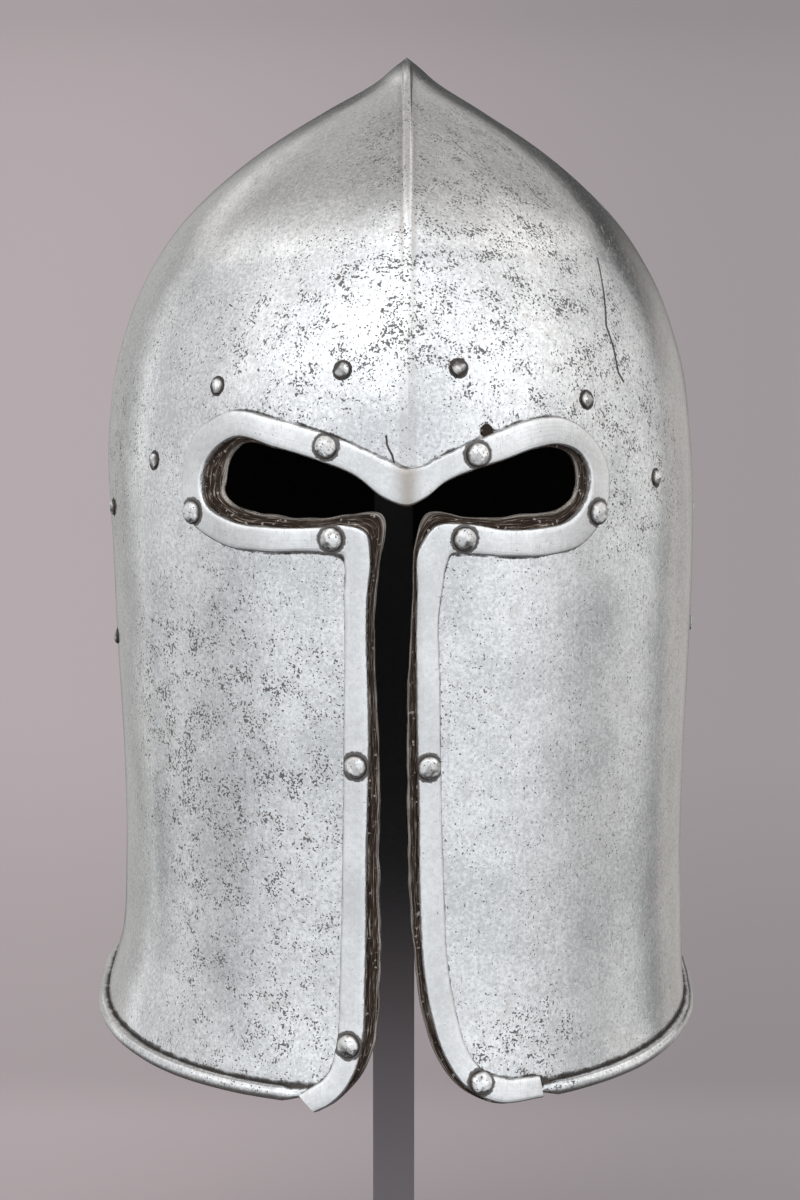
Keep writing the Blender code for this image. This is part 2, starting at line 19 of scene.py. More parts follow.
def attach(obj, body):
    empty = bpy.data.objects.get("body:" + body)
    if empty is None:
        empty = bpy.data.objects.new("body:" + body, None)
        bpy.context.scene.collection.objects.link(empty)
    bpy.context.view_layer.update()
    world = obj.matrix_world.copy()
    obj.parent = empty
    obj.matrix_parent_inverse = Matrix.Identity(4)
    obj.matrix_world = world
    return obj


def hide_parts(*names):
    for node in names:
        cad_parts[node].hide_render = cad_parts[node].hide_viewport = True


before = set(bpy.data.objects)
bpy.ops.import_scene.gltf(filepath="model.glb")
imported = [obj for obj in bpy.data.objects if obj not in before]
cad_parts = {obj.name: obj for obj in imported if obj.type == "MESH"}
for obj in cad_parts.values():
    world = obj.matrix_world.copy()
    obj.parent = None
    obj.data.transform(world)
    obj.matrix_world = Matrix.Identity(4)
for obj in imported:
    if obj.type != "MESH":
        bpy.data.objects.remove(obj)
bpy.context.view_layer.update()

bl_info = {
    "name": "Barbute Helmet",
    "version": (1, 0, 0),
    "blender": (4, 5, 0),
    "location": "3D View > Sidebar > Barbute",
    "description": "Builds the finished surfaces of a barbute helmet on its stand",
    "category": "Add Mesh",
}

# Lengths are shares: height of the skull's height, half_width of its half width, front
# and back of the two depths from the middle. keel runs from 0, an oval end, to 1, a
# sharp edge. fullness squares the oval. sway moves both sides to the right, as a share
# of the half width. rows is the number of coarse rows up to the next section.
Section = namedtuple(
    "Section", "height half_width front back front_keel back_keel fullness sway rows"
)
SECTIONS = (
    Section(-0.040, 1.018, 1.03, 1.14, 0.50, 0.10, 2.6, -0.020, 1),
    Section(0.000, 1.004, 1.02, 1.06, 0.50, 0.10, 2.6, -0.018, 1),
    Section(0.030, 0.987, 1.01, 0.98, 0.50, 0.10, 2.6, -0.011, 1),
    Section(0.070, 0.969, 1.00, 0.90, 0.50, 0.10, 2.6, 0.003, 1),
    Section(0.150, 0.958, 0.995, 0.86, 0.50, 0.10, 2.6, 0.008, 2),
    Section(0.260, 0.962, 0.995, 0.88, 0.50, 0.10, 2.6, 0.009, 1),
    Section(0.380, 0.981, 0.995, 0.93, 0.48, 0.10, 2.5, 0.008, 1),
    Section(0.500, 0.996, 0.985, 0.98, 0.40, 0.12, 2.4, 0.006, 2),
    Section(0.600, 1.000, 0.970, 1.00, 0.32, 0.14, 2.2, -0.004, 2),
    Section(0.700, 0.958, 0.925, 0.99, 0.26, 0.16, 2.1, -0.007, 2),
    Section(0.783, 0.852, 0.840, 0.94, 0.28, 0.20, 2.0, -0.007, 2),
    Section(0.845, 0.704, 0.735, 0.86, 0.34, 0.28, 2.0, -0.007, 2),
    Section(0.906, 0.470, 0.560, 0.735, 0.50, 0.50, 2.0, -0.006, 1),
    Section(0.947, 0.256, 0.395, 0.59, 0.70, 0.70, 2.0, -0.004, 1),
    Section(0.975, 0.100, 0.235, 0.43, 0.90, 0.90, 2.0, 0.0, 1),
    Section(0.992, 0.034, 0.080, 0.27, 1.00, 1.00, 2.0, 0.0, 1),
)
PEAK_KEEL = 1.0
RIM_ROW = 1

# Height of the lower edge: turn in degrees from the front, rise as a share.
EdgeHeight = namedtuple("EdgeHeight", "turn rise")
LOWER_EDGE = (
    EdgeHeight(0, 0.10),
    EdgeHeight(45, 0.11),
    EdgeHeight(58, 0.17),
    EdgeHeight(72, 0.27),
    EdgeHeight(90, 0.40),
    EdgeHeight(108, 0.56),
    EdgeHeight(135, 0.80),
    EdgeHeight(180, 1.00),
)

# The strip's inner edge seen from the front, from its left end up to the ridge and down
# to its right end: x a share of the half width, z of the height. lean is the direction,
# in degrees, in which the strip lies from that edge, width a share of the strip's own,
# and lap, a share of the edge's, how far the bowl shows past the strip.
Edge = namedtuple("Edge", "x z lean width lap")
LEFT_EDGE = (
    Edge(-0.275, -0.006, 135, 0.88, 0.0),
    Edge(-0.226, 0.003, 138, 0.95, 0.0),
    Edge(-0.181, 0.017, 158, 0.92, 0.1),
    Edge(-0.149, 0.034, 175, 0.95, 0.5),
    Edge(-0.124, 0.062, 184, 1.00, 0.9),
    Edge(-0.112, 0.128, 184, 1.00, 1.1),
    Edge(-0.107, 0.255, 184, 0.95, 0.95),
    Edge(-0.099, 0.360, 184, 1.00, 0.65),
    Edge(-0.104, 0.500, 184, 0.92, 0.6),
    Edge(-0.095, 0.535, 203, 1.08, 0.8),
    Edge(-0.112, 0.561, 228, 1.32, 1.9),
    Edge(-0.179, 0.567, 240, 1.33, 1.05),
    Edge(-0.254, 0.564, 242, 1.15, 0.85),
    Edge(-0.418, 0.561, 252, 1.07, 1.1),
    Edge(-0.546, 0.564, 247, 1.04, 1.3),
    Edge(-0.627, 0.578, 225, 0.95, 1.75),
    Edge(-0.640, 0.600, 182, 0.78, 1.85),
    Edge(-0.604, 0.627, 140, 0.97, 1.4),
    Edge(-0.526, 0.644, 108, 1.03, 0.6),
    Edge(-0.398, 0.637, 90, 1.12, 0.1),
    Edge(-0.263, 0.627, 86, 1.12, 0.1),
    Edge(-0.150, 0.615, 66, 1.08, 0.1),
    Edge(-0.040, 0.592, 82, 1.46, 0.1),
)
NASAL_TIP = (Edge(0.0206, 0.587, 90, 1.46, 0.1),)
RIGHT_EDGE = (
    Edge(0.075, 0.594, 90, 1.30, 0.1),
    Edge(0.137, 0.608, 106, 1.00, 0.1),
    Edge(0.229, 0.619, 112, 1.03, 0.1),
    Edge(0.327, 0.627, 105, 1.15, 0.1),
    Edge(0.425, 0.636, 98, 1.15, 0.1),
    Edge(0.499, 0.638, 80, 1.05, 0.2),
    Edge(0.558, 0.631, 42, 0.80, 0.35),
    Edge(0.597, 0.615, 15, 0.75, 0.7),
    Edge(0.603, 0.598, -8, 0.83, 0.8),
    Edge(0.584, 0.580, -44, 1.03, 0.9),
    Edge(0.528, 0.564, -61, 1.15, 1.1),
    Edge(0.446, 0.560, -76, 1.15, 1.3),
    Edge(0.326, 0.561, -85, 1.10, 1.0),
    Edge(0.207, 0.568, -78, 1.25, 0.6),
    Edge(0.107, 0.567, -62, 1.30, 1.2),
    Edge(0.060, 0.549, -40, 1.30, 0.4),
    Edge(0.048, 0.500, -4, 0.95, 0.25),
    Edge(0.047, 0.402, -3, 0.93, 0.65),
    Edge(0.054, 0.296, -3, 0.90, 0.8),
    Edge(0.057, 0.205, 2, 0.97, 0.7),
    Edge(0.073, 0.130, 8, 0.97, 0.5),
    Edge(0.098, 0.089, 10, 0.97, 0.6),
    Edge(0.143, 0.049, 18, 0.90, 0.45),
    Edge(0.197, 0.024, 38, 0.88, 0.25),
    Edge(0.308, 0.003, 68, 0.98, 0.1),
    Edge(0.456, 0.002, 100, 0.88, 0.0),
)
FACE_EDGE = LEFT_EDGE + NASAL_TIP + RIGHT_EDGE

# Rivets of the strip: station counts the rows of FACE_EDGE, across runs from the
# strip's inner edge to its outer one. chip is the direction, in degrees, of a flat
# broken off the head, with its depth as a share of the head's radius.
BandRivet = namedtuple("BandRivet", "station across chip chip_depth")
BAND_RIVETS = (
    BandRivet(20.20, 0.58, -65, 0.34),
    BandRivet(26.25, 0.50, 160, 0.10),
    BandRivet(15.05, 0.68, 0, 0.16),
    BandRivet(32.95, 0.68, 200, 0.12),
    BandRivet(11.15, 0.50, 40, 0.08),
    BandRivet(37.22, 0.50, 100, 0.10),
    BandRivet(6.77, 0.50, 20, 0.06),
    BandRivet(41.62, 0.45, 130, 0.06),
    BandRivet(4.00, 0.50, -20, 0.10),
    BandRivet(47.30, 0.50, 215, 0.12),
)

# Rivets of the lost lining: turn in degrees from the front, height as a share, and the
# direction and depth of the two flats hammered on each head.
LiningRivet = namedtuple("LiningRivet", "turn height flat_one flat_two depth")
LINING_RIVETS = (
    LiningRivet(-17.4, 0.712, 60, 190, 0.22),
    LiningRivet(15.3, 0.714, 20, 215, 0.34),
    LiningRivet(-42.0, 0.690, 120, 250, 0.26),
    LiningRivet(41.6, 0.677, 200, 320, 0.28),
    LiningRivet(-57.5, 0.609, 150, 280, 0.22),
    LiningRivet(60.0, 0.590, 30, 170, 0.24),
    LiningRivet(-78.0, 0.545, 80, 230, 0.20),
    LiningRivet(91.0, 0.529, 110, 300, 0.20),
    LiningRivet(-83.0, 0.404, 10, 140, 0.22),
    LiningRivet(89.0, 0.408, 70, 220, 0.24),
    LiningRivet(-122.0, 0.530, 40, 180, 0.18),
    LiningRivet(124.0, 0.530, 90, 240, 0.20),
    LiningRivet(-155.0, 0.530, 160, 310, 0.20),
    LiningRivet(157.0, 0.530, 20, 130, 0.22),
)

# Patches of denser pitting: a point in the middle, its radius and how dense it is.
PitPatch = namedtuple("PitPatch", "x y z radius amount")
PIT_PATCHES = (
    PitPatch(0.026, -0.088, 0.352, 0.050, 1.00),
    PitPatch(0.018, -0.052, 0.390, 0.046, 1.00),
    PitPatch(0.052, -0.078, 0.342, 0.050, 0.85),
    PitPatch(0.068, -0.060, 0.300, 0.042, 0.50),
    PitPatch(-0.024, -0.096, 0.344, 0.044, 0.60),
    PitPatch(-0.060, -0.070, 0.330, 0.050, 0.25),
    PitPatch(-0.084, -0.020, 0.300, 0.050, 0.55),
    PitPatch(-0.056, -0.088, 0.222, 0.072, 0.75),
    PitPatch(-0.044, -0.096, 0.150, 0.052, 0.65),
    PitPatch(0.036, -0.104, 0.124, 0.030, 0.70),
    PitPatch(0.012, -0.115, 0.236, 0.024, 0.40),
    PitPatch(0.050, -0.090, 0.200, 0.050, 0.15),
    PitPatch(0.050, 0.080, 0.330, 0.070, 0.60),
    PitPatch(-0.060, 0.070, 0.220, 0.070, 0.55),
)

# Cracks and deep scratches, seen from the front: half the width of the dark line, and
# its points as x and z in metres.
Crack = namedtuple("Crack", "half_width points")
CRACKS = (
    Crack(
        0.00042,
        (
            (0.0600, 0.3614),
            (0.0618, 0.3496),
            (0.0621, 0.3424),
            (0.0643, 0.3358),
            (0.0658, 0.3284),
            (0.0674, 0.3256),
        ),
    ),
    Crack(
        0.00030,
        (
            (-0.0044, 0.3134),
            (-0.0041, 0.3108),
            (-0.0026, 0.3080),
            (-0.0019, 0.3052),
            (-0.0002, 0.3018),
        ),
    ),
    Crack(0.00018, ((0.0155, 0.3975), (0.0188, 0.3948), (0.0215, 0.3925))),
    Crack(0.00020, ((0.0375, 0.3850), (0.0412, 0.3806), (0.0457, 0.3770))),
    Crack(0.00016, ((-0.0516, 0.3492), (-0.0436, 0.3444))),
)

# The studio's light as soft patches of a dome: azimuth in degrees from the front
# towards +X, elevation, radius of the even part, radius at which it has faded out,
# strength and warmth from -1, cool, to 1, warm.
LightPatch = namedtuple("LightPatch", "azimuth elevation inner outer strength warmth")
LIGHT_PATCHES = (
    LightPatch(1, 15, 25, 90, 0.95, -0.5),
    LightPatch(-90, 10, 20, 58, 0.56, -0.2),
    LightPatch(90, 10, 20, 60, 0.52, 0.1),
    LightPatch(-10, 50, 10, 42, 0.48, -0.2),
    LightPatch(-62, 46, 8, 44, 0.38, 0.2),
    LightPatch(68, 42, 8, 42, 0.30, 0.2),
    LightPatch(-108, 16, 22, 36, 0.18, 0.2),
    LightPatch(-148, 0, 20, 28, 0.42, 0.3),
    LightPatch(110, 20, 24, 34, 0.28, 0.3),
    LightPatch(152, -10, 8, 24, 0.42, 0.9),
    LightPatch(-178, 63, 46, 51, 0.42, 0.6),
)


def smooth_row(rows, knots, place):
    """The row at a place between knots, on a smooth curve through all rows."""
    last = len(rows) - 2
    index = max(0, min(last, sum(knot <= place for knot in knots) - 1))

    def secant(start, column):
        start = max(0, min(last, start))
        span = knots[start + 1] - knots[start]
        return (rows[start + 1][column] - rows[start][column]) / span

    def slope(row, column):
        if row == 0 or row == last + 1:
            return secant(row, column)
        before = knots[row] - knots[row - 1]
        after = knots[row + 1] - knots[row]
        inner = secant(row - 1, column) * after + secant(row, column) * before
        return inner / (before + after)

    span = knots[index + 1] - knots[index]
    part = (place - knots[index]) / span
    values = []
    for column in range(len(rows[0])):
        start = rows[index][column]
        end = rows[index + 1][column]
        start_slope = slope(index, column) * span
        end_slope = slope(index + 1, column) * span
        value = (2 * part ** 3 - 3 * part ** 2 + 1) * start
        value += (part ** 3 - 2 * part ** 2 + part) * start_slope
        value += (3 * part ** 2 - 2 * part ** 3) * end
        value += (part ** 3 - part ** 2) * end_slope
        values.append(value)
    return type(rows[0])(*values)


def fade(value, low, high):
    """0 below low, 1 above high and smooth between them."""
    part = max(0.0, min(1.0, (value - low) / (high - low)))
    return part * part * (3 - 2 * part)


class HelmetForm:
    """The curved skin of the bowl and the outline of its face opening."""

    def __init__(self, sizes):
        self.height = sizes.skull_height
        self.half_width = sizes.skull_half_width
        for name in FORM_SIZES:
            setattr(self, name, getattr(sizes, name))
        peak_front = -self.peak_setback / self.front_depth
        peak_back = self.peak_setback / self.back_depth
        peak = Section(1.0, 0.0, peak_front, peak_back, PEAK_KEEL, PEAK_KEEL, 2.0, 0.0, 1)
        self.sections = (*SECTIONS, peak)
        rim = SECTIONS[RIM_ROW]
        front_reach = rim.front * self.front_depth + self.band_thickness
        rear_reach = rim.back * self.back_depth + 2 * self.roll_radius - self.wall
        self.origin = Vector((0.0, (front_reach - rear_reach) / 2, sizes.clearance))
        self.section_heights = [section.height for section in self.sections]
        self.edge_turns = [row.turn for row in LOWER_EDGE]
        self.section_at = lru_cache(maxsize=None)(self._section_at)
        self.rise_at = lru_cache(maxsize=None)(self._rise_at)
        self.edge_lengths = self._edge_lengths()
        self.edge_row = lru_cache(maxsize=None)(self._edge_row)
        self.roll_limits = self._roll_limits()

    def _section_at(self, height):
        return smooth_row(self.sections, self.section_heights, height)

    def _rise_at(self, turn):
        degrees_round = min(180.0, abs(turn) * 180 / pi)
        return smooth_row(LOWER_EDGE, self.edge_turns, degrees_round).rise * self.rear_rise

    def _edge_lengths(self):
        """Distance along the strip's inner edge to each row of FACE_EDGE."""
        lengths = [0.0]
        for before, after in zip(FACE_EDGE, FACE_EDGE[1:]):
            across = (after.x - before.x) * self.half_width
            up = (after.z - before.z) * self.height
            lengths.append(lengths[-1] + sqrt(across ** 2 + up ** 2))
        return lengths

    def station_length(self, station):
        """Distance along the strip's inner edge to a fractional count of rows."""
        index = min(int(station), len(FACE_EDGE) - 2)
        start = self.edge_lengths[index]
        return start + (station - index) * (self.edge_lengths[index + 1] - start)

    def _edge_row(self, station):
        return smooth_row(FACE_EDGE, self.edge_lengths, self.station_length(station))

    def _roll_limits(self):
        """Distances from the middle at which the roll begins, past the strip's ends."""
        last = len(FACE_EDGE) - 1
        left = min(self.outline_place(0, 0, 0)[0], self.outline_place(0, 1, 0)[0])
        right = max(self.outline_place(last, 0, 0)[0], self.outline_place(last, 1, 0)[0])
        return left - self.roll_to_band, right + self.roll_to_band

    def side_reach(self, section, side_sign):
        """Distance along X from the ridge to one side of a section."""
        half_width = section.half_width * (side_sign * self.half_width - self.ridge_offset)
        return half_width + section.sway * self.half_width

    def skin_point(self, turn, height):
        """Point of the outer skin; turn in radians from the front, height a share."""
        section = self.section_at(height)
        middle = self.peak_setback * height * abs(height)
        part = sin(turn) ** 2
        reach = abs(cos(turn)) ** (2 / section.fullness)
        if cos(turn) >= 0:
            keel = section.front_keel
            y = middle - (middle + section.front * self.front_depth) * reach
        else:
            keel = section.back_keel
            y = middle + (section.back * self.back_depth - middle) * reach
        side = 0.0
        if part > NO_TURN:
            side = 2 * part / (keel + sqrt(keel ** 2 + 4 * (1 - keel) * part))
        x = self.ridge_offset + side * self.side_reach(section, 1 if sin(turn) >= 0 else -1)
        z = height * self.height + self.rise_at(turn) * max(0.0, 1 - max(0.0, height)) ** 2
        return self.origin + Vector((x, y, z))

    def skin_frame(self, turn, height):
        """Outward normal and downward direction of the skin at a point."""
        if height > 1 - SKIN_STEP:
            return Vector((0, 0, 1)), Vector((0, -1, 0))
        upper = min(height + SKIN_STEP, 1 - SKIN_STEP / 10)
        lower = upper - 2 * SKIN_STEP
        ahead = self.skin_point(turn + SKIN_STEP, height)
        behind = self.skin_point(turn - SKIN_STEP, height)
        down = (self.skin_point(turn, lower) - self.skin_point(turn, upper)).normalized()
        normal = (ahead - behind).cross(-down).normalized()
        return normal, down

    def relief(self, point, height):
        """Shallow hammering all over and the narrow rib along the ridge."""
        broad = noise.noise(point * BROAD_HAMMERING)
        shallow = broad + FINE_SHARE * noise.noise(point * FINE_HAMMERING)
        from_ridge = abs(point.x - self.ridge_offset)
        flanks = [share * self.rib_half_width for share in RIB_FLANKS]
        rib = 1 - fade(from_ridge, *flanks)
        even = fade(height, *PEAK_FADE)
        strength = fade(height, *RIB_FADE) * (1 - even)
        hammered = self.hammering * shallow * (1 - rib * strength) * (1 - even)
        return hammered + self.rib_height * rib * strength

    def worked_point(self, turn, height, lift=0.0):
        """Point over the hammered outer skin, at a distance along the skin's normal."""
        normal, _ = self.skin_frame(turn, height)
        point = self.skin_point(turn, height)
        return point + normal * (lift + self.relief(point, height))

    def inner_point(self, turn, height):
        """Point of the bowl's inside."""
        normal, _ = self.skin_frame(turn, height)
        return self.skin_point(turn, height) - normal * self.wall

    def face_place(self, x, z):
        """Turn and height of the front skin point seen at x and z from the front."""
        height = z / self.height
        turn = 0.0
        side_sign = 1 if x >= self.ridge_offset else -1
        for _ in range(PLACE_ROUNDS):
            section = self.section_at(round(height, 6))
            reach = self.side_reach(section, side_sign)
            side = min(WIDEST_PLACE, (x - self.ridge_offset) / reach)
            part = section.front_keel * side + (1 - section.front_keel) * side ** 2
            turn = side_sign * asin(sqrt(part))
            missing = z + self.origin.z - self.skin_point(turn, round(height, 6)).z
            height += missing / self.height
        return turn, round(height, 6)

    def outline_place(self, station, across, past):
        """x and z seen from the front of a point by the strip's inner edge.

        across runs over the strip's width, and past, in metres, goes the other way from
        its inner edge, over the bowl's own edge.
        """
        row = self.edge_row(station)
        reach = across * row.width * self.band_width - past
        lean = radians(row.lean)
        x = row.x * self.half_width + reach * cos(lean)
        z = row.z * self.height + reach * sin(lean)
        return x, z

    def outline_point(self, station, across, past, lift):
        """Point over the hammered skin by the strip's inner edge."""
        turn, height = self.face_place(*self.outline_place(station, across, past))
        return self.worked_point(turn, height, lift)

    def roll_growth(self, turn):
        """How far the roll along the lower edge has grown, from 0 by the opening to 1."""
        if cos(turn) < 0:
            return 1.0
        x = self.skin_point(turn, SECTIONS[RIM_ROW].height).x
        left, right = self.roll_limits
        return max(0.0, min(1.0, max(left - x, x - right) / self.roll_fade))

    def roll_point(self, turn, angle):
        """Point round the lower edge's roll, from above it on the outside to the inside."""
        height = SECTIONS[RIM_ROW].height
        normal, down = self.skin_frame(turn, height)
        start = self.skin_point(turn, height)
        grown = self.roll_growth(turn)
        uneven = 1 + ROLL_WAVE * noise.noise(start * ROLL_UNEVENNESS)
        full = self.roll_radius * uneven
        radius = self.wall / 2 + (full - self.wall / 2) * grown
        around = radians(angle)
        centre = start + normal * (radius - self.wall)
        rolled = centre + (normal * cos(around) + down * sin(around)) * radius
        if angle >= 0:
            return rolled
        plain = start + down * (angle / 90 * full)
        return plain.lerp(rolled, grown)

    def rivet_matrix(self, turn, height):
        """Place of a rivet, with its axis square to the skin."""
        normal, _ = self.skin_frame(turn, height)
        turned = normal.to_track_quat("Z", "X").to_matrix().to_4x4()
        return Matrix.Translation(self.skin_point(turn, height)) @ turned

    def hole_matrix(self):
        """Place of the empty rivet hole."""
        place = self.face_place(OPEN_HOLE_X * self.half_width, OPEN_HOLE_Z * self.height)
        return self.rivet_matrix(*place)

    def band_rivet_matrices(self):
        """Places of the strip's rivets."""
        places = [self.outline_place(row.station, row.across, 0) for row in BAND_RIVETS]
        return [self.rivet_matrix(*self.face_place(*place)) for place in places]

    def lining_rivet_matrices(self):
        """Places of the lining's rivets."""
        return [self.rivet_matrix(radians(row.turn), row.height) for row in LINING_RIVETS]


# Sizes that the form has under their own names
FORM_SIZES = (
    "front_depth back_depth peak_setback ridge_offset rear_rise wall band_width"
    " band_thickness edge_lap roll_radius roll_fade roll_to_band rib_half_width"
    " rib_height hammering"
).split()

# Steps of the searches on the skin, and the sine squared below which a turn counts as none
SKIN_STEP = 0.001
PLACE_ROUNDS = 14
WIDEST_PLACE = 0.999
NO_TURN = 1e-12

# Waves per metre of the hammering and of the roll's unevenness, the share of the finer
# hammering, and the depth of the roll's unevenness as a share of its radius
BROAD_HAMMERING = 26
FINE_HAMMERING = 74
FINE_SHARE = 0.35
ROLL_UNEVENNESS = 90
ROLL_WAVE = 0.05

# Heights between which the rib along the ridge grows and those between which it and the
# hammering end at the peak, and the rib's flanks as shares of its half width
RIB_FADE = (0.70, 0.90)
PEAK_FADE = (0.985, 1.0)
RIB_FLANKS = (0.7, 1.5)

# Fineness of the meshes, and the distance within which their points are welded
WELD = 1e-6
TURN_STEPS = 264
ROW_STEPS = 7
INNER_ROW_STEPS = 2
INNER_TOP = 0.96
ROLL_ANGLES = (-105, -90, -72, -54, -36, -18, 0, 18, 36, 54, 72, 90, 110, 130, 155, 180)
OUTLINE_STEPS = 16
HEAD_SIDES = 40
HEAD_ARCS = 9
CUTTER_SIDES = 24
EDGE_FACETS = (15, 45, 75)
FLOOR_SIDES = 96

# Angles in degrees over which an edge is shaded sharp
SHARP_ANGLE = 40
DOMED_SHARP_ANGLE = 30
SMALL_SHARP_ANGLE = 25

# The strip: easing of its corners, how far it sinks in, and its crown with the shares of
# its width that the crown has points at
STRIP_EASE = 0.0006
STRIP_SINK = 0.00015
STRIP_CROWN = 0.00012
CROWN_SHARES = (0.2, 0.35, 0.5, 0.65, 0.8)

# The opening's edge: its easing as a share of the wall and how far it stands proud. Its
# wear has waves per metre along it, waves over its lap and a depth as a share of the
# lap; the finer wear of its height has a depth in metres, a scale and a shift
EDGE_EASE = 0.35
EDGE_PROUD = 0.00008
EDGE_WEAR = 160
EDGE_WEAR_OVER = 1.7
EDGE_WORN_BACK = 0.16
EDGE_WAVE = 0.00018
EDGE_WAVE_SCALE = 1.9
EDGE_WAVE_SHIFT = Vector((0, 7, 3))

# Rivets: easing and sinking of a head as shares of its height, its undercut and the
# taper of the clenched end as shares of their radius. A broken flat of a domed head has
# a rise and a level, and a hammered flat of a small one a lean and a share for the second
HEAD_EASE = 0.04
HEAD_SINK = 0.05
HEAD_UNDERCUT = 0.97
CLENCH_TAPER = 0.8
CHIP_RISE = 0.7
CHIP_LEVEL = 0.45
FLAT_LEAN = 0.45
SECOND_FLAT = 0.7

# Cutting of the bowl: the share of the strip's width along which it is cut, out of
# sight, steps between rows of the outline and the cutters' reach
CUT_LINE = 0.5
CUTTER_STEPS = 4
CUTTER_REACH = 0.006
CUTTER_AHEAD = 0.030
CUTTER_BELOW = 0.020
CUTTER_END = 0.33

# Lines that the dirt and painted shade on the bowl gather at: the share of the strip's width
# from which its outer edge is measured, and the number of points along the roll
SEAM_LINE = 0.7
SEAM_STEPS = 720

# The empty rivet hole as shares of the half width and height, and the stub in it
OPEN_HOLE_X = 0.276
OPEN_HOLE_Z = 0.655
STUB_RADIUS = 0.0019
STUB_DEPTH = 0.0011
STUB_TOP = 0.00012

# Waves per metre of the pits, the larger spots and the fine specks, the cells of painted
# reflection on the rivets, and the core of a pit patch as a share of its radius
PIT_GRAIN = 1400
SPOT_GRAIN = 700
SPECK_GRAIN = 1150
RIVET_CELLS = 360
PATCH_CORE = 0.35

# Depths of the fine reliefs that only the shading shows
BOWL_RELIEF = 0.00022
STRIP_RELIEF = 0.00018
EDGE_RELIEF = 0.0005
RIVET_RELIEF = 0.0010
INSIDE_RELIEF = 0.0004
STAND_RELIEF = 0.00008

# Height above which the bowl's rows start, clear of the roll, and the angle round the
# roll from which it takes the finish of the inside
ROLL_TOP = 0.011
ROLL_SHOWS = 120


def wrapped_skin(rows, columns, place, material_of=None, marks=None):
    """Grid of rows by columns laid over a shape by place(row, column).

    The last column meets the first. Open end rows are filled with one face each, and end
    rows that meet in a point are welded. marks(row, column) gives the lengths along and
    across the shape that a pattern follows.
    """
    bm = bmesh.new()
    bmesh.ops.create_grid(bm, x_segments=columns, y_segments=rows - 1, size=1)
    along = bm.verts.layers.float.new("along")
    across = bm.verts.layers.float.new("across")
    if material_of:
        for face in bm.faces:
            middle = (face.calc_center_median().y + 1) / 2 * (rows - 1)
            face.material_index = material_of(int(middle))
    for vert in bm.verts:
        column = round((vert.co.x + 1) / 2 * columns) % columns
        row = round((vert.co.y + 1) / 2 * (rows - 1))
        vert.co = place(row, column)
        if marks:
            vert[along], vert[across] = marks(row, column)
    bmesh.ops.remove_doubles(bm, verts=bm.verts, dist=WELD)
    open_edges = [edge for edge in bm.edges if edge.is_boundary]
    if open_edges:
        bmesh.ops.holes_fill(bm, edges=open_edges, sides=0)
    return bm


def face_outwards(bm):
    """Turns all faces of a closed bmesh outwards."""
    bmesh.ops.recalc_face_normals(bm, faces=bm.faces)
    if bm.calc_volume(signed=True) < 0:
        bmesh.ops.reverse_faces(bm, faces=bm.faces)


def piece_from(name, bm, materials, sharp_angle=SHARP_ANGLE):
    """Object of a closed bmesh, faces outwards, round parts shaded smooth."""
    face_outwards(bm)
    mesh = bpy.data.meshes.new(name)
    bm.to_mesh(mesh)
    bm.free()
    for material in materials:
        mesh.materials.append(material)
    mesh.shade_smooth()
    mesh.set_sharp_from_angle(angle=radians(sharp_angle))
    piece = bpy.data.objects.new(name, mesh)
    bpy.context.scene.collection.objects.link(piece)
    return piece


def fit_to_frame(piece, slot, *nodes):
    """Makes a finished piece ride on the part's body in place of its solids."""
    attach(piece, "root")
    if nodes:
        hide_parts(*nodes)


def cut_away(piece, cutter):
    """Cuts the cutter out of a piece and removes it."""
    modifier = piece.modifiers.new("cut", "BOOLEAN")
    modifier.operation = "DIFFERENCE"
    modifier.solver = "EXACT"
    modifier.use_self = True
    modifier.object = cutter
    bpy.context.view_layer.update()
    graph = bpy.context.evaluated_depsgraph_get()
    mesh = bpy.data.meshes.new_from_object(piece.evaluated_get(graph))
    if not mesh.polygons:
        raise RuntimeError(f"nothing is left of {piece.name} after the cut")
    piece.modifiers.clear()
    old = piece.data
    piece.data = mesh
    mesh.name = piece.name
    bpy.data.meshes.remove(old)
    bpy.data.objects.remove(cutter)


def note_distances(piece, name, points, widths=None):
    """Stores each vertex's distance to the nearest point, less that point's width."""
    tree = KDTree(len(points))
    for index, point in enumerate(points):
        tree.insert(point, index)
    tree.balance()
    attribute = piece.data.attributes.new(name, "FLOAT", "POINT")
    for vert in piece.data.vertices:
        _, index, distance = tree.find(vert.co)
        attribute.data[vert.index].value = distance - (widths[index] if widths else 0)


def stations_of(steps):
    """Counts of FACE_EDGE's rows from one end to the other, in equal parts of a row."""
    return [index / steps for index in range((len(FACE_EDGE) - 1) * steps + 1)]


def turn_of(step, steps):
    """Turn in radians at one of the equal steps round the bowl, from its back."""
    return 2 * pi * step / steps - pi


def wall_heights(form):
    """Heights of the bowl's rows above the lower edge's roll."""
    heights = []
    for lower, upper in zip(form.sections[RIM_ROW:], form.sections[RIM_ROW + 1:]):
        steps = lower.rows * ROW_STEPS
        for step in range(steps):
            heights.append(lower.height + (upper.height - lower.height) * step / steps)
    return [height for height in heights if height > ROLL_TOP]


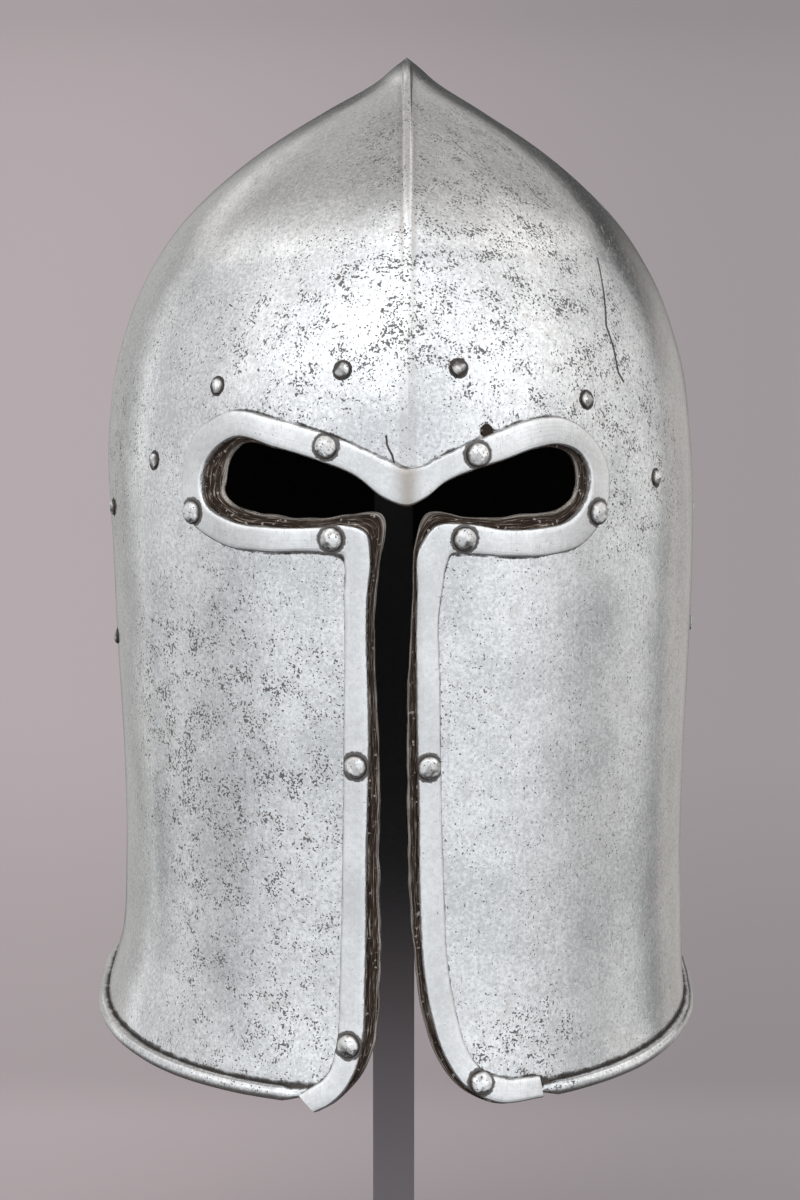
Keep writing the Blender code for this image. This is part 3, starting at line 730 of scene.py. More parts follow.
def bowl_skin(form):
    """The whole bowl, outside, roll and inside, before its opening is cut."""
    heights = wall_heights(form)
    outer = [1.0] + heights[::-1]
    sparse = heights[::ROW_STEPS // INNER_ROW_STEPS]
    inner = [height for height in sparse if height < INNER_TOP]
    rows = [("outside", height) for height in outer]
    rows += [("roll", angle) for angle in ROLL_ANGLES]
    rows += [("inside", height) for height in inner]
    makers = {"outside": form.worked_point, "roll": form.roll_point, "inside": form.inner_point}

    def place(row, column):
        side, value = rows[row]
        return makers[side](turn_of(column, TURN_STEPS), value)

    def material_of(row):
        side, value = rows[row]
        return 1 if side == "inside" or (side == "roll" and value > ROLL_SHOWS) else 0

    def marks(row, column):
        side, value = rows[row]
        return column / TURN_STEPS, value if side == "roll" else ROLL_ANGLES[0]

    return wrapped_skin(len(rows), TURN_STEPS, place, material_of, marks)


def add_cylinder(bm, radius, depth, place):
    """Adds a closed cylinder to a bmesh."""
    bmesh.ops.create_cone(
        bm,
        cap_ends=True,
        segments=CUTTER_SIDES,
        radius1=radius,
        radius2=radius,
        depth=depth,
        matrix=place,
    )


def opening_cutter(form, hole_radius):
    """Solids that take the face opening and the empty rivet hole out of the bowl.

    The opening is cut along a line under the strip.
    """
    front = form.origin.y - form.front_depth - CUTTER_AHEAD
    back = form.origin.y - form.front_depth * CUTTER_END
    floor = form.origin.z - CUTTER_BELOW

    def column_at(station):
        turn, height = form.face_place(*form.outline_place(station, CUT_LINE, 0))
        normal, _ = form.skin_frame(turn, height)
        outer = form.skin_point(turn, height) + normal * CUTTER_REACH
        inner = form.skin_point(turn, height) - normal * CUTTER_REACH
        return [
            Vector((outer.x, front, outer.z)),
            outer,
            inner,
            Vector((inner.x, back, inner.z)),
        ]

    def foot_of(column):
        return [Vector((point.x, point.y, floor)) for point in column]

    columns = [column_at(station) for station in stations_of(CUTTER_STEPS)]
    columns = [foot_of(columns[0]), *columns, foot_of(columns[-1])]
    bm = wrapped_skin(len(columns[0]), len(columns), lambda row, column: columns[column][row])
    add_cylinder(bm, hole_radius, 2 * CUTTER_REACH, form.hole_matrix())
    return piece_from("opening_cutter", bm, [])


def strip_profile(form):
    """Outline across the strip: share of its width and height over the bowl."""
    top = form.band_thickness
    near = []
    for angle in EDGE_FACETS:
        around = radians(angle)
        side = STRIP_EASE * (1 - cos(around)) / form.band_width
        near.append((side, top - STRIP_EASE + STRIP_EASE * sin(around)))
    crown = [(share, top + STRIP_CROWN * sin(pi * share)) for share in CROWN_SHARES]
    far = [(1 - side, lift) for side, lift in reversed(near)]
    foot = [(1.0, -STRIP_SINK), (0.5, -STRIP_SINK)]
    return [(0.0, -STRIP_SINK), *near, *crown, *far, *foot]


def face_strip(form):
    """The applied strip round the face opening, one solid with eased corners."""
    stations = stations_of(OUTLINE_STEPS)
    profile = strip_profile(form)

    def place(row, column):
        across, lift = profile[column]
        return form.outline_point(stations[row], across, 0, lift)

    def marks(row, column):
        return form.station_length(stations[row]), profile[column][0]

    return wrapped_skin(len(stations), len(profile), place, marks=marks)


def opening_edge(form):
    """The bowl's own worn edge, from under the strip round to the inside of the wall.

    Its profile goes under the strip and over the lap, as shares, at a height over the bowl.
    """
    stations = stations_of(OUTLINE_STEPS)
    ease = form.wall * EDGE_EASE
    profile = (
        (-0.95, 0.0, -form.wall - EDGE_PROUD),
        (-0.80, 0.0, 0.0),
        (-0.10, 0.0, EDGE_PROUD),
        (0.0, 0.25, EDGE_PROUD),
        (0.0, 0.50, EDGE_PROUD),
        (0.0, 0.75, 0.0),
        (0.0, 0.92, -0.3 * ease),
        (0.0, 1.00, -ease),
        (0.0, 1.02, -form.wall / 2),
        (0.0, 1.00, ease - form.wall),
        (0.0, 0.85, -form.wall - EDGE_PROUD),
    )

    def place(row, column):
        under, over, lift = profile[column]
        station = stations[row]
        edge = form.edge_row(station)
        lap = edge.lap * form.edge_lap
        worn = 0.0
        if over:
            along = form.station_length(station) * EDGE_WEAR
            at = Vector((along, over * EDGE_WEAR_OVER, 0))
            worn = noise.noise(at) * min(lap, form.edge_lap) * EDGE_WORN_BACK
            lift += noise.noise(at * EDGE_WAVE_SCALE + EDGE_WAVE_SHIFT) * EDGE_WAVE
        past = under * edge.width * form.band_width + over * (lap + worn)
        return form.outline_point(station, 0, past, lift)

    def marks(row, column):
        return form.station_length(stations[row]), column / len(profile)

    return wrapped_skin(len(stations), len(profile), place, marks=marks)


def turned_rivet(radius, height, seat, form, sizes):
    """Rivet turned about +Z: its head, its shank and its clenched end inside."""
    inside = -form.wall - sizes.clench_gap
    profile = []
    for step in range(HEAD_ARCS):
        around = radians(90 - 90 * step / HEAD_ARCS)
        profile.append((radius * cos(around), seat + height * sin(around)))
    profile += [
        (radius, seat + HEAD_EASE * height),
        (radius * HEAD_UNDERCUT, seat - HEAD_SINK * height),
        (sizes.shank_radius, seat - HEAD_SINK * height),
        (sizes.shank_radius, inside),
        (sizes.clench_radius, inside),
        (sizes.clench_radius * CLENCH_TAPER, inside - sizes.clench_thickness),
        (0.0, inside - sizes.clench_thickness),
    ]
    bm = bmesh.new()
    verts = [bm.verts.new((across, 0, up)) for across, up in profile]
    edges = [bm.edges.new(pair) for pair in zip(verts, verts[1:])]
    bmesh.ops.spin(
        bm,
        geom=verts + edges,
        cent=(0, 0, 0),
        axis=(0, 0, 1),
        angle=2 * pi,
        steps=HEAD_SIDES,
        use_merge=True,
    )
    bmesh.ops.remove_doubles(bm, verts=bm.verts, dist=WELD)
    foot = bm.verts.layers.float.new("across")
    for vert in bm.verts:
        vert[foot] = vert.co.xy.length / radius
    for face in bm.faces:
        face.material_index = 1 if face.calc_center_median().z < -form.wall / 2 else 0
    return bm


def cut_flat(bm, point, normal):
    """Cuts a flat on a closed shape and closes it."""
    geometry = list(bm.verts) + list(bm.edges) + list(bm.faces)
    bmesh.ops.bisect_plane(bm, geom=geometry, plane_co=point, plane_no=normal, clear_outer=True)
    open_edges = [edge for edge in bm.edges if edge.is_boundary]
    bmesh.ops.holes_fill(bm, edges=open_edges, sides=0)


class Value:
    """A number on a shader socket; sums written with it become Math nodes."""

    def __init__(self, shading, socket):
        self.shading = shading
        self.socket = socket

    def _maths(self, operation, first, second):
        settings = {"operation": operation}
        return self.shading.value("ShaderNodeMath", settings, {0: first, 1: second})

    def __add__(self, other):
        return self._maths("ADD", self, other)

    __radd__ = __add__

    def __mul__(self, other):
        return self._maths("MULTIPLY", self, other)

    __rmul__ = __mul__

    def __sub__(self, other):
        return self._maths("SUBTRACT", self, other)

    def __rsub__(self, other):
        return self._maths("SUBTRACT", other, self)

    def least(self, other):
        return self._maths("MINIMUM", self, other)

    def most(self, other):
        return self._maths("MAXIMUM", self, other)


class Shading:
    """A node tree and the calls that add nodes to it."""

    def __init__(self, tree):
        self.tree = tree
        tree.nodes.clear()
        self.texture_place = self.node("ShaderNodeTexCoord")
        self.place = self.texture_place.outputs["Object"]

    def node(self, kind, settings=None, inputs=None):
        """A node with its settings made first and then its sockets' values or links."""
        node = self.tree.nodes.new(kind)
        for name, setting in (settings or {}).items():
            setattr(node, name, setting)
        for name, value in (inputs or {}).items():
            if isinstance(value, Value):
                value = value.socket
            if isinstance(value, bpy.types.NodeSocket):
                self.tree.links.new(value, node.inputs[name])
            else:
                node.inputs[name].default_value = value
        return node

    def value(self, kind, settings=None, inputs=None, output=0):
        """A number from one output of a new node."""
        return Value(self, self.node(kind, settings, inputs).outputs[output])

    def soft(self, value, low, high):
        """0 below low, 1 above high; the other way round where low is above high."""
        settings = {"interpolation_type": "SMOOTHSTEP"}
        return self.value("ShaderNodeMapRange", settings, {0: value, 1: low, 2: high})

    def grain(self, scale, detail=2.0, at=None, roughness=0.5):
        """Noise from 0 to 1 with scale waves in a metre."""
        inputs = {"Vector": at or self.place, "Scale": scale}
        inputs.update({"Detail": detail, "Roughness": roughness})
        return self.value("ShaderNodeTexNoise", None, inputs)

    def cells(self, scale):
        """An even tone from 0 to 1 in each cell, with scale cells in a metre."""
        inputs = {"Vector": self.place, "Scale": scale}
        facets = self.node("ShaderNodeTexVoronoi", None, inputs)
        return self.value("ShaderNodeSeparateColor", None, {0: facets.outputs["Color"]})

    def stretched(self, turn, scale):
        """Object coordinates turned and scaled, for marks that run one way."""
        mapping = self.node(
            "ShaderNodeMapping",
            {"vector_type": "POINT"},
            {"Vector": self.place, "Rotation": turn, "Scale": scale},
        )
        return mapping.outputs[0]

    def coordinate(self, axis):
        """One of the object coordinates, 0 for X to 2 for Z."""
        inputs = {0: self.place}
        return self.value("ShaderNodeSeparateXYZ", None, inputs, axis)

    def beside(self, middle):
        """Distance along X from a plane, such as the ridge's."""
        aside = self.coordinate(0) - middle
        return aside.most(aside * -1)

    def attribute(self, name):
        """A number stored on the piece's vertices."""
        return self.value("ShaderNodeAttribute", {"attribute_name": name}, None, 2)

    def ribbon_place(self, along, across):
        """Coordinates along and across a piece, scaled."""
        inputs = {0: self.attribute("along") * along, 1: self.attribute("across") * across}
        return self.node("ShaderNodeCombineXYZ", None, inputs).outputs[0]

    def vector(self, operation, inputs, output=0):
        """An output of a new Vector Math node, 0 a vector and 1 a number."""
        node = self.node("ShaderNodeVectorMath", {"operation": operation}, inputs)
        return node.outputs[output]

    def distance(self, point):
        """Distance to a point."""
        return Value(self, self.vector("DISTANCE", {0: self.place, 1: point}, 1))

    def nearest(self, points):
        """Distance to the nearest of some points."""
        shortest = self.distance(points[0])
        for point in points[1:]:
            shortest = shortest.least(self.distance(point))
        return shortest

    def line_distance(self, start, end):
        """Distance to a straight line between two points."""
        run = end - start
        offset = self.vector("SUBTRACT", {0: self.place, 1: start})
        inputs = {0: offset, 1: run / run.length_squared}
        part = Value(self, self.vector("DOT_PRODUCT", inputs, 1)).most(0.0).least(1.0)
        reach = self.vector("SCALE", {0: run, "Scale": part})
        away = self.vector("SUBTRACT", {0: offset, 1: reach})
        return Value(self, self.vector("LENGTH", {0: away}, 1))

    def blend(self, factor, first, second):
        """One colour over another by a factor."""
        inputs = {0: factor, 6: first, 7: second}
        return self.node("ShaderNodeMix", {"data_type": "RGBA"}, inputs).outputs[2]

    def bump(self, height, distance):
        """Normal of a fine relief of a given depth."""
        inputs = {"Height": height, "Distance": distance}
        return self.node("ShaderNodeBump", None, inputs).outputs[0]


def finished_material(name, build):
    """A material whose Principled shader gets what build(shading) returns."""
    material = bpy.data.materials.get(name)
    if material:
        return material
    material = bpy.data.materials.new(name)
    material.use_nodes = True
    shading = Shading(material.node_tree)
    shader = shading.node("ShaderNodeBsdfPrincipled", None, build(shading))
    shading.node("ShaderNodeOutputMaterial", None, {"Surface": shader.outputs[0]})
    return material


def tint(rgb):
    """A property's colour for a colour socket."""
    return (*rgb, 1.0)


def ring_dirt_and_shade(shading, points, radius, width):
    """Dirt and painted shade in the crevice round rivet heads, uneven on its outside."""
    uneven = shading.grain(900, 3) * width * 1.6
    return shading.soft(shading.nearest(points) - uneven, radius + width * 0.6, radius)


def pitted(shading):
    """How densely the bowl is pitted, from the patches."""
    density = 0.14 + shading.grain(22, 3) * 0.26
    for patch in PIT_PATCHES:
        middle = Vector((patch.x, patch.y, patch.z))
        away = shading.distance(middle)
        near = shading.soft(away, patch.radius, PATCH_CORE * patch.radius)
        density = density + near * patch.amount
    return density.least(1.0)


def crack_lines(shading, form):
    """Dark lines of dirt and painted shade where the bowl is cracked or deeply scratched."""
    lines = None
    for crack in CRACKS:
        points = []
        for x, z in crack.points:
            turn, height = form.face_place(x, z - form.origin.z)
            points.append(form.worked_point(turn, height))
        for start, end in zip(points, points[1:]):
            away = shading.line_distance(start, end)
            away = away - shading.grain(1600, 2) * 0.0004 + 0.0002
            line = shading.soft(away, crack.half_width * 1.5, crack.half_width * 0.5)
            lines = line if lines is None else lines.most(line)
    return lines


def bowl_finish(form, finish):
    """Worn bright steel with pits, scratches, cracks, dirt and painted shade in the crevices,
    and painted shade beside the ridge.
    """

    def build(shading):
        density = pitted(shading)
        cluster = shading.soft(shading.grain(150, 4, roughness=0.65), 0.42, 0.62)
        local = density * (0.25 + cluster * 0.75)
        edge = 0.700 - local * 0.180
        pits = shading.soft(shading.grain(PIT_GRAIN, 1.5), edge, edge + 0.06)
        low = 0.72 - local * 0.175
        spots = shading.grain(SPOT_GRAIN, 2.5, roughness=0.6)
        spots = shading.soft(spots, low, low + 0.06)
        pits = pits.most(spots)
        film = shading.grain(260, 5, roughness=0.7)
        film = shading.soft(film, 0.62 - density * 0.16, 0.80)
        across = shading.grain(1, 2, shading.stretched((0.2, 0.9, 0.3), (2600, 90, 120)))
        upward = shading.grain(1, 2, shading.stretched((0.1, -0.35, 0.1), (1900, 160, 60)))
        brushed = shading.grain(1, 3, shading.stretched((0, 0, 0), (900, 900, 70)))
        scratches = shading.soft(across, 0.66, 0.74).most(shading.soft(upward, 0.67, 0.75))
        cloud = shading.grain(34, 5, roughness=0.62)
        mottle = shading.grain(880, 4, roughness=0.72)
        stain = shading.soft(cloud + shading.grain(190, 4) * 0.5, 0.80, 1.02)
        # Dirt and painted shade along the strip's outer edge
        gap = shading.attribute("strip_gap") - shading.grain(330, 4, roughness=0.65) * 0.0020
        seam = shading.soft(gap, -0.0003, -0.0009)
        seam = seam * shading.soft(shading.grain(130, 3), 0.30, 0.60)
        # Dirt and painted shade in the crevice above the roll
        gap = shading.attribute("roll_gap") - shading.grain(300, 3) * 0.0018
        roll = shading.soft(gap, 0.0007, -0.0003)
        small = [matrix.translation for matrix in form.lining_rivet_matrices()]
        rings = ring_dirt_and_shade(shading, small, finish.ring_radius, 0.0005)
        cracks = crack_lines(shading, form)
        under = shading.soft(shading.attribute("across") + shading.grain(240, 4) * 60, 20, 90)
        # Crevices, rivet rings and cracks: dirt and painted shade
        crevice = seam.most(roll).most(rings).most(cracks)
        tone = shading.soft(cloud * 0.45 + mottle * 0.75, 0.46, 0.76)
        steel = shading.blend(tone, tint(finish.dull_steel), tint(finish.bright_steel))
        aside = shading.beside(form.ridge_offset)
        high = shading.soft(shading.coordinate(2), 0.340, 0.372)
        worn = shading.soft(aside, 0.0014, 0.0008) * shading.soft(mottle, 0.30, 0.50) * high
        # Painted shade along the foot of the ridge's rib, spotted by the mottle, in the stain
        # colour
        beside = shading.soft(aside, 0.0036, 0.0016) * (1 - worn) * (high * 0.2 + 0.5)
        steel = shading.blend(beside * mottle, steel, tint(finish.stain))
        steel = shading.blend(stain * 0.30 + film * 0.30, steel, tint(finish.stain))
        steel = shading.blend(under * 0.75, steel, tint(finish.patina_pale))
        steel = shading.blend(worn * 0.8, steel, tint(finish.bright_steel))
        steel = shading.blend(pits * 0.86, steel, tint(finish.pit))
        steel = shading.blend(crevice * 0.95, steel, tint(finish.crevice))
        dark = pits.most(crevice).most(under * 0.6)
        rough = 0.10 + cloud * 0.08 + mottle * 0.08 + stain * 0.10 + dark * 0.40
        relief = shading.grain(480, 2, roughness=0.4) * 0.12 + shading.grain(130, 2) * 0.5
        relief = relief + brushed * 0.03 - pits * 0.35 - crevice * 1.0 - scratches * 0.12
        return {
            "Base Color": steel,
            "Metallic": 1 - dark * 0.6,
            "Roughness": rough,
            "Normal": shading.bump(relief, BOWL_RELIEF),
        }

    return finished_material("worn_bowl_steel", build)


def strip_finish(form, finish):
    """Smoother, paler steel of the strip; dark specks, dirt and painted shade by its edges and
    round rivets; painted shade over the ridge.
    """

    def build(shading):
        cloud = shading.grain(60, 4)
        specks = shading.soft(shading.grain(SPECK_GRAIN, 2, roughness=0.65), 0.69, 0.75)
        mottle = shading.grain(640, 4, roughness=0.72)
        across = shading.attribute("across")
        # Dirt and painted shade along the strip's edges and round its rivets
        rim = shading.soft(across, 0.92, 0.99).most(shading.soft(across, 0.06, 0.0))
        edge_dirt_and_shade = rim * shading.soft(shading.grain(300, 5, roughness=0.65), 0.40, 0.60)
        seat = Vector((0, 0, form.band_thickness))
        domed = [matrix @ seat for matrix in form.band_rivet_matrices()]
        ring = ring_dirt_and_shade(shading, domed, finish.domed_ring_radius, 0.0008)
        # Painted shade along the strip's crease where it bends over the ridge
        crease_shade = shading.soft(shading.beside(form.ridge_offset), 0.0055, 0.0)
        scratches = shading.grain(1, 2, shading.stretched((0.3, 0.7, 0.2), (2400, 90, 140)))
        scratches = shading.soft(scratches, 0.64, 0.72)
        dark = (specks * 0.6).most(edge_dirt_and_shade * 0.8).most(ring)
        streaks = shading.grain(1, 3, shading.ribbon_place(60, 14))
        tone = shading.soft(cloud * 0.5 + mottle * 0.5 - scratches * 0.08, 0.36, 0.64)
        steel = shading.blend(tone, tint(finish.strip_dull), tint(finish.strip_bright))
        steel = shading.blend(crease_shade * 0.8, steel, tint(finish.stain))
        steel = shading.blend(dark * 0.85, steel, tint(finish.crevice))
        relief = streaks * 0.25 - dark * 0.5 - scratches * 0.15 + shading.grain(120, 2)
        relief = relief + shading.grain(420, 2, roughness=0.4) * 0.12
        return {
            "Base Color": steel,
            "Metallic": 1 - dark * 0.7,
            "Roughness": 0.14 + cloud * 0.08 + streaks * 0.08 + dark * 0.35,
            "Normal": shading.bump(relief, STRIP_RELIEF),
        }

    return finished_material("strip_steel", build)


def edge_finish(finish):
    """Brown patina with streaks along the opening's edge and bright worn spots."""

    def build(shading):
        streaks = shading.grain(1, 4, shading.ribbon_place(90, 26), roughness=0.65)
        lines = shading.grain(1, 3, shading.ribbon_place(240, 60))
        specks = shading.soft(shading.grain(700, 3), 0.62, 0.70)
        worn = shading.soft(streaks * 0.6 + lines * 0.5, 0.60, 0.72)
        bright = worn.most(specks * 0.8)
        tone = shading.soft(streaks * 0.6 + lines * 0.4, 0.47, 0.60)
        brown = shading.blend(tone, tint(finish.patina), tint(finish.patina_pale))
        across = shading.attribute("across")
        lip = shading.soft(across, 0.47, 0.55) * shading.soft(across, 0.72, 0.64)
        bright = bright.most(lip * shading.soft(streaks, 0.40, 0.54))
        return {
            "Base Color": shading.blend(bright * 0.75, brown, tint(finish.worn_patina)),
            "Metallic": 0.05 + bright * 0.8,
            "Roughness": 0.50 - bright * 0.26,
            "Specular IOR Level": 0.12,
            "Normal": shading.bump(streaks * 0.7 + lines * 0.3, EDGE_RELIEF),
        }

    return finished_material("edge_patina", build)


def rivet_finish(finish):
    """Steel of the rivets: hammered facets toned as painted reflections, small dark pits, and
    dirt with painted shade at the foot.
    """

    def build(shading):
        specks = shading.soft(shading.grain(SPECK_GRAIN, 2, roughness=0.6), 0.62, 0.69)
        cloud = shading.grain(240, 3)
        # Dirt and painted shade at the foot of each rivet head
        foot = shading.attribute("across") + shading.grain(500, 3) * 0.22
        dark = (specks * 0.8).most(shading.soft(foot, 0.88, 1.08) * 0.95)
        # Painted reflection: each hammered facet gets a lighter or darker tone
        facet_reflection = shading.cells(RIVET_CELLS)
        steel = shading.blend(facet_reflection, tint(finish.rivet_dull), tint(finish.rivet_bright))
        relief = shading.grain(300, 1) + facet_reflection * 0.1 - specks * 0.1
        return {
            "Base Color": shading.blend(dark, steel, tint(finish.crevice)),
            "Metallic": 1 - dark * 0.5,
            "Roughness": 0.13 + cloud * 0.10 + dark * 0.3,
            "Normal": shading.bump(relief, RIVET_RELIEF),
        }

    return finished_material("worn_rivet_steel", build)


def inside_finish(finish):
    """Dark, dull inside of the bowl, near-black as painted shade."""

    def build(shading):
        cloud = shading.grain(70, 4)
        return {
            "Base Color": shading.blend(cloud, tint(finish.inside), tint(finish.inside_pale)),
            "Metallic": 0.3,
            "Roughness": 0.75 + cloud * 0.15,
            "Normal": shading.bump(shading.grain(240, 4), INSIDE_RELIEF),
        }

    return finished_material("inside_steel", build)


def stand_finish(finish):
    """Dark grey satin paint of the stand, with painted shade on the post inside the bowl."""

    def build(shading):
        cloud = shading.grain(18, 3)
        # Painted shade: the post grows darker inside the bowl
        upper = shading.soft(shading.coordinate(2), STAND_UNSHADED_BELOW, STAND_SHADED_ABOVE)
        paint = shading.blend(cloud, tint(finish.stand), tint(finish.stand_pale))
        return {
            "Base Color": shading.blend(upper, paint, tint(finish.stand_dark)),
            "Roughness": 0.48 + cloud * 0.1,
            "Normal": shading.bump(shading.grain(900, 2), STAND_RELIEF),
        }

    return finished_material("stand_paint", build)


def floor_finish(finish):
    """Plain pale floor with painted shade: a little darker towards the right, behind and far
    away.
    """

    def build(shading):
        depth = shading.coordinate(1)
        spread = 0.12 + depth.most(0.0) * 0.08
        # Painted shade, darker towards the right
        side = shading.soft(shading.coordinate(0), spread * -1, spread)
        paint = shading.blend(side, tint(finish.floor), tint(finish.floor_shaded))
        # Painted shade: a darker band behind the stand and darker far away
        behind = shading.soft(depth, 0.30, 0.40) * shading.soft(depth, 1.3, 0.45)
        far = shading.soft(depth, 3.0, 30.0)
        paint = shading.blend(behind * 0.14 + far * 0.16, paint, tint((0, 0, 0)))
        return {"Base Color": paint, "Roughness": 0.9, "Specular IOR Level": 0.1}

    return finished_material("studio_floor", build)


def length(name, default, description):
    """A length in metres that a user may change."""
    return FloatProperty(
        name=name,
        description=description,
        default=default,
        precision=5,
        subtype="DISTANCE",
        unit="LENGTH",
    )


def colour(name, default, description):
    """A colour that a user may change."""
    return FloatVectorProperty(
        name=name,
        description=description,
        default=default,
        size=3,
        min=0.0,
        max=1.0,
        subtype="COLOR",
    )


class BarbuteSizes(PropertyGroup):
    """Sizes of the helmet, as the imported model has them."""

    skull_height: length("Skull height", 0.309, "From the front lower edge to the peak")
    skull_half_width: length("Half width", 0.0923, "From the middle to the temple")
    front_depth: length("Front depth", 0.118, "From the middle to the brow's ridge")
    back_depth: length("Back depth", 0.112, "From the middle to the back of the skull")
    peak_setback: length("Peak setback", 0.012, "How far the peak lies behind the middle")
    ridge_offset: length("Ridge offset", 0.0019, "How far the ridge stands to the right")
    rear_rise: length("Rear rise", 0.032, "How far the lower edge rises to the nape")
    clearance: length("Clearance", 0.112, "Height of the skull's foot over the floor")
    wall: length("Wall", 0.002, "Thickness of the plate")
    band_width: length("Strip width", 0.0075, "Width of the strip round the opening")
    band_thickness: length("Strip thickness", 0.0017, "Height of the strip over the bowl")
    edge_lap: length("Edge lap", 0.0035, "How far the bowl shows past the strip")
    roll_radius: length("Roll radius", 0.0023, "Radius of the rolled lower edge")
    roll_fade: length("Roll fade", 0.004, "Length over which the roll grows")
    roll_to_band: length("Roll to strip", 0.001, "From the strip's end to the roll")
    rib_half_width: length("Rib half width", 0.00105, "Half the width of the ridge's rib")
    rib_height: length("Rib height", 0.00040, "Height of the ridge's rib")
    hammering: length("Hammering", 0.00022, "Depth of the hammered unevenness")
    head_radius: length("Domed head radius", 0.0037, "Radius of the strip's rivet heads")
    head_height: length("Domed head height", 0.0022, "Height of the strip's rivet heads")
    small_radius: length("Small head radius", 0.0025, "Radius of the lining's rivet heads")
    small_height: length("Small head height", 0.0015, "Height of the lining's rivet heads")
    shank_radius: length("Shank radius", 0.0014, "Radius of every rivet's shank")
    clench_radius: length("Clench radius", 0.0024, "Radius of the rivet ends inside")
    clench_thickness: length("Clench thickness", 0.0008, "Height of the rivet ends inside")
    clench_gap: length("Clench gap", 0.0003, "Room between the wall and the rivet ends")
    hole_radius: length("Empty hole radius", 0.0018, "Radius of the open rivet hole")


class BarbuteFinish(PropertyGroup):
    """Colours of the helmet's surfaces, the stand and the studio."""

    bright_steel: colour("Bright steel", (0.90, 0.91, 0.92), "Polished parts of the bowl")
    dull_steel: colour("Dull steel", (0.58, 0.59, 0.60), "Cloudy parts of the bowl")
    # Old stains, and also the colour of the painted shade beside the ridge and along the
    # strip's crease
    stain: colour("Stain", (0.36, 0.32, 0.28), "Old stains on the bowl")
    pit: colour("Pit", (0.085, 0.078, 0.072), "Corrosion pits")
    # Dirt and painted shade in crevices, cracks, by the strip's edges and round rivet heads;
    # pits on the strip and rivets take it too
    crevice: colour("Crevice", (0.035, 0.024, 0.018), "Dirt in crevices and cracks")
    strip_bright: colour("Strip, bright", (0.83, 0.84, 0.85), "Polished parts of the strip")
    strip_dull: colour("Strip, dull", (0.67, 0.67, 0.67), "Cloudy parts of the strip")
    # Light and dark tones of the rivets' facets, a painted reflection
    rivet_bright: colour("Rivets, bright", (0.86, 0.86, 0.86), "Polished parts of the rivets")
    rivet_dull: colour("Rivets, dull", (0.47, 0.46, 0.45), "Cloudy parts of the rivets")
    patina: colour("Patina", (0.020, 0.012, 0.008), "Brown of the opening's edge")
    patina_pale: colour("Patina, pale", (0.120, 0.086, 0.064), "Paler streaks of the edge")
    worn_patina: colour("Patina, worn", (0.62, 0.57, 0.52), "Bright worn spots of the edge")
    # Near-black inside: painted shade
    inside: colour("Inside", (0.010, 0.009, 0.008), "Dark inside of the bowl")
    inside_pale: colour("Inside, pale", (0.022, 0.018, 0.015), "Paler inside of the bowl")
    stand: colour("Stand", (0.205, 0.186, 0.195), "Paint of the stand")
    # Painted shade of the post inside the bowl
    stand_dark: colour("Stand, top", (0.020, 0.019, 0.020), "Paint of the post inside the bowl")
    stand_pale: colour("Stand, pale", (0.228, 0.208, 0.217), "Worn paint of the stand")
    floor: colour("Floor", (0.465, 0.408, 0.425), "Studio floor on the left")
    # Floor on the right, darker as painted shade
    floor_shaded: colour("Floor, right", (0.350, 0.314, 0.330), "Studio floor on the right")
    backdrop: colour("Backdrop", (0.40, 0.355, 0.375), "What is seen past the floor")
    # Radii at which the rings of dirt and painted shade round the rivet heads begin
    ring_radius: length("Small dirt ring", 0.0025, "Radius inside the small rivets' dirt")
    domed_ring_radius: length("Dirt ring", 0.0037, "Radius inside the domed rivets' dirt")
    ambient: FloatProperty(
        name="Ambient",
        description="Even light between the soft patches",
        default=0.06,
        min=0.0,
    )


def helmet_form():
    """The helmet's form from the scene's sizes."""
    return HelmetForm(bpy.context.scene.barbute_sizes)


class BARBUTE_OT_bowl(Operator):
    """Build the bowl with its rolled lower edge and its face opening"""

    bl_idname = "mesh.barbute_bowl"
    bl_label = "Bowl"

    def execute(self, context):
        form = helmet_form()
        finish = context.scene.barbute_finish
        materials = [bowl_finish(form, finish), inside_finish(finish)]
        bowl = piece_from("bowl", bowl_skin(form), materials)
        cut_away(bowl, opening_cutter(form, context.scene.barbute_sizes.hole_radius))
        stations = stations_of(OUTLINE_STEPS)
        points = [form.outline_point(station, SEAM_LINE, 0, 0) for station in stations]
        beyond = form.band_width * (1 - SEAM_LINE)
        widths = [form.edge_row(station).width * beyond for station in stations]
        note_distances(bowl, "strip_gap", points, widths)
        turns = [turn_of(step, SEAM_STEPS) for step in range(SEAM_STEPS)]
        seam = [form.roll_point(turn, ROLL_ANGLES[0]) for turn in turns]
        note_distances(bowl, "roll_gap", seam)
        fit_to_frame(bowl, "skull_steel", "skull_shell")
        return {"FINISHED"}


class BARBUTE_OT_opening_edge(Operator):
    """Build the worn brown edge of the face opening and the stub in the empty hole"""

    bl_idname = "mesh.barbute_opening_edge"
    bl_label = "Opening edge"

    def execute(self, context):
        materials = [edge_finish(context.scene.barbute_finish)]
        form = helmet_form()
        edge = piece_from("opening_edge", opening_edge(form), materials)
        fit_to_frame(edge, "skull_steel")
        sunk = Matrix.Translation((0, 0, STUB_TOP - STUB_DEPTH / 2))
        stub = bmesh.new()
        add_cylinder(stub, STUB_RADIUS, STUB_DEPTH, form.hole_matrix() @ sunk)
        fit_to_frame(piece_from("rusted_stub", stub, materials), "skull_steel")
        return {"FINISHED"}


class BARBUTE_OT_face_strip(Operator):
    """Build the applied strip round the face opening"""

    bl_idname = "mesh.barbute_face_strip"
    bl_label = "Face strip"

    def execute(self, context):
        form = helmet_form()
        materials = [strip_finish(form, context.scene.barbute_finish)]
        strip = piece_from("face_strip", face_strip(form), materials)
        fit_to_frame(strip, "band_steel", "face_band")
        return {"FINISHED"}


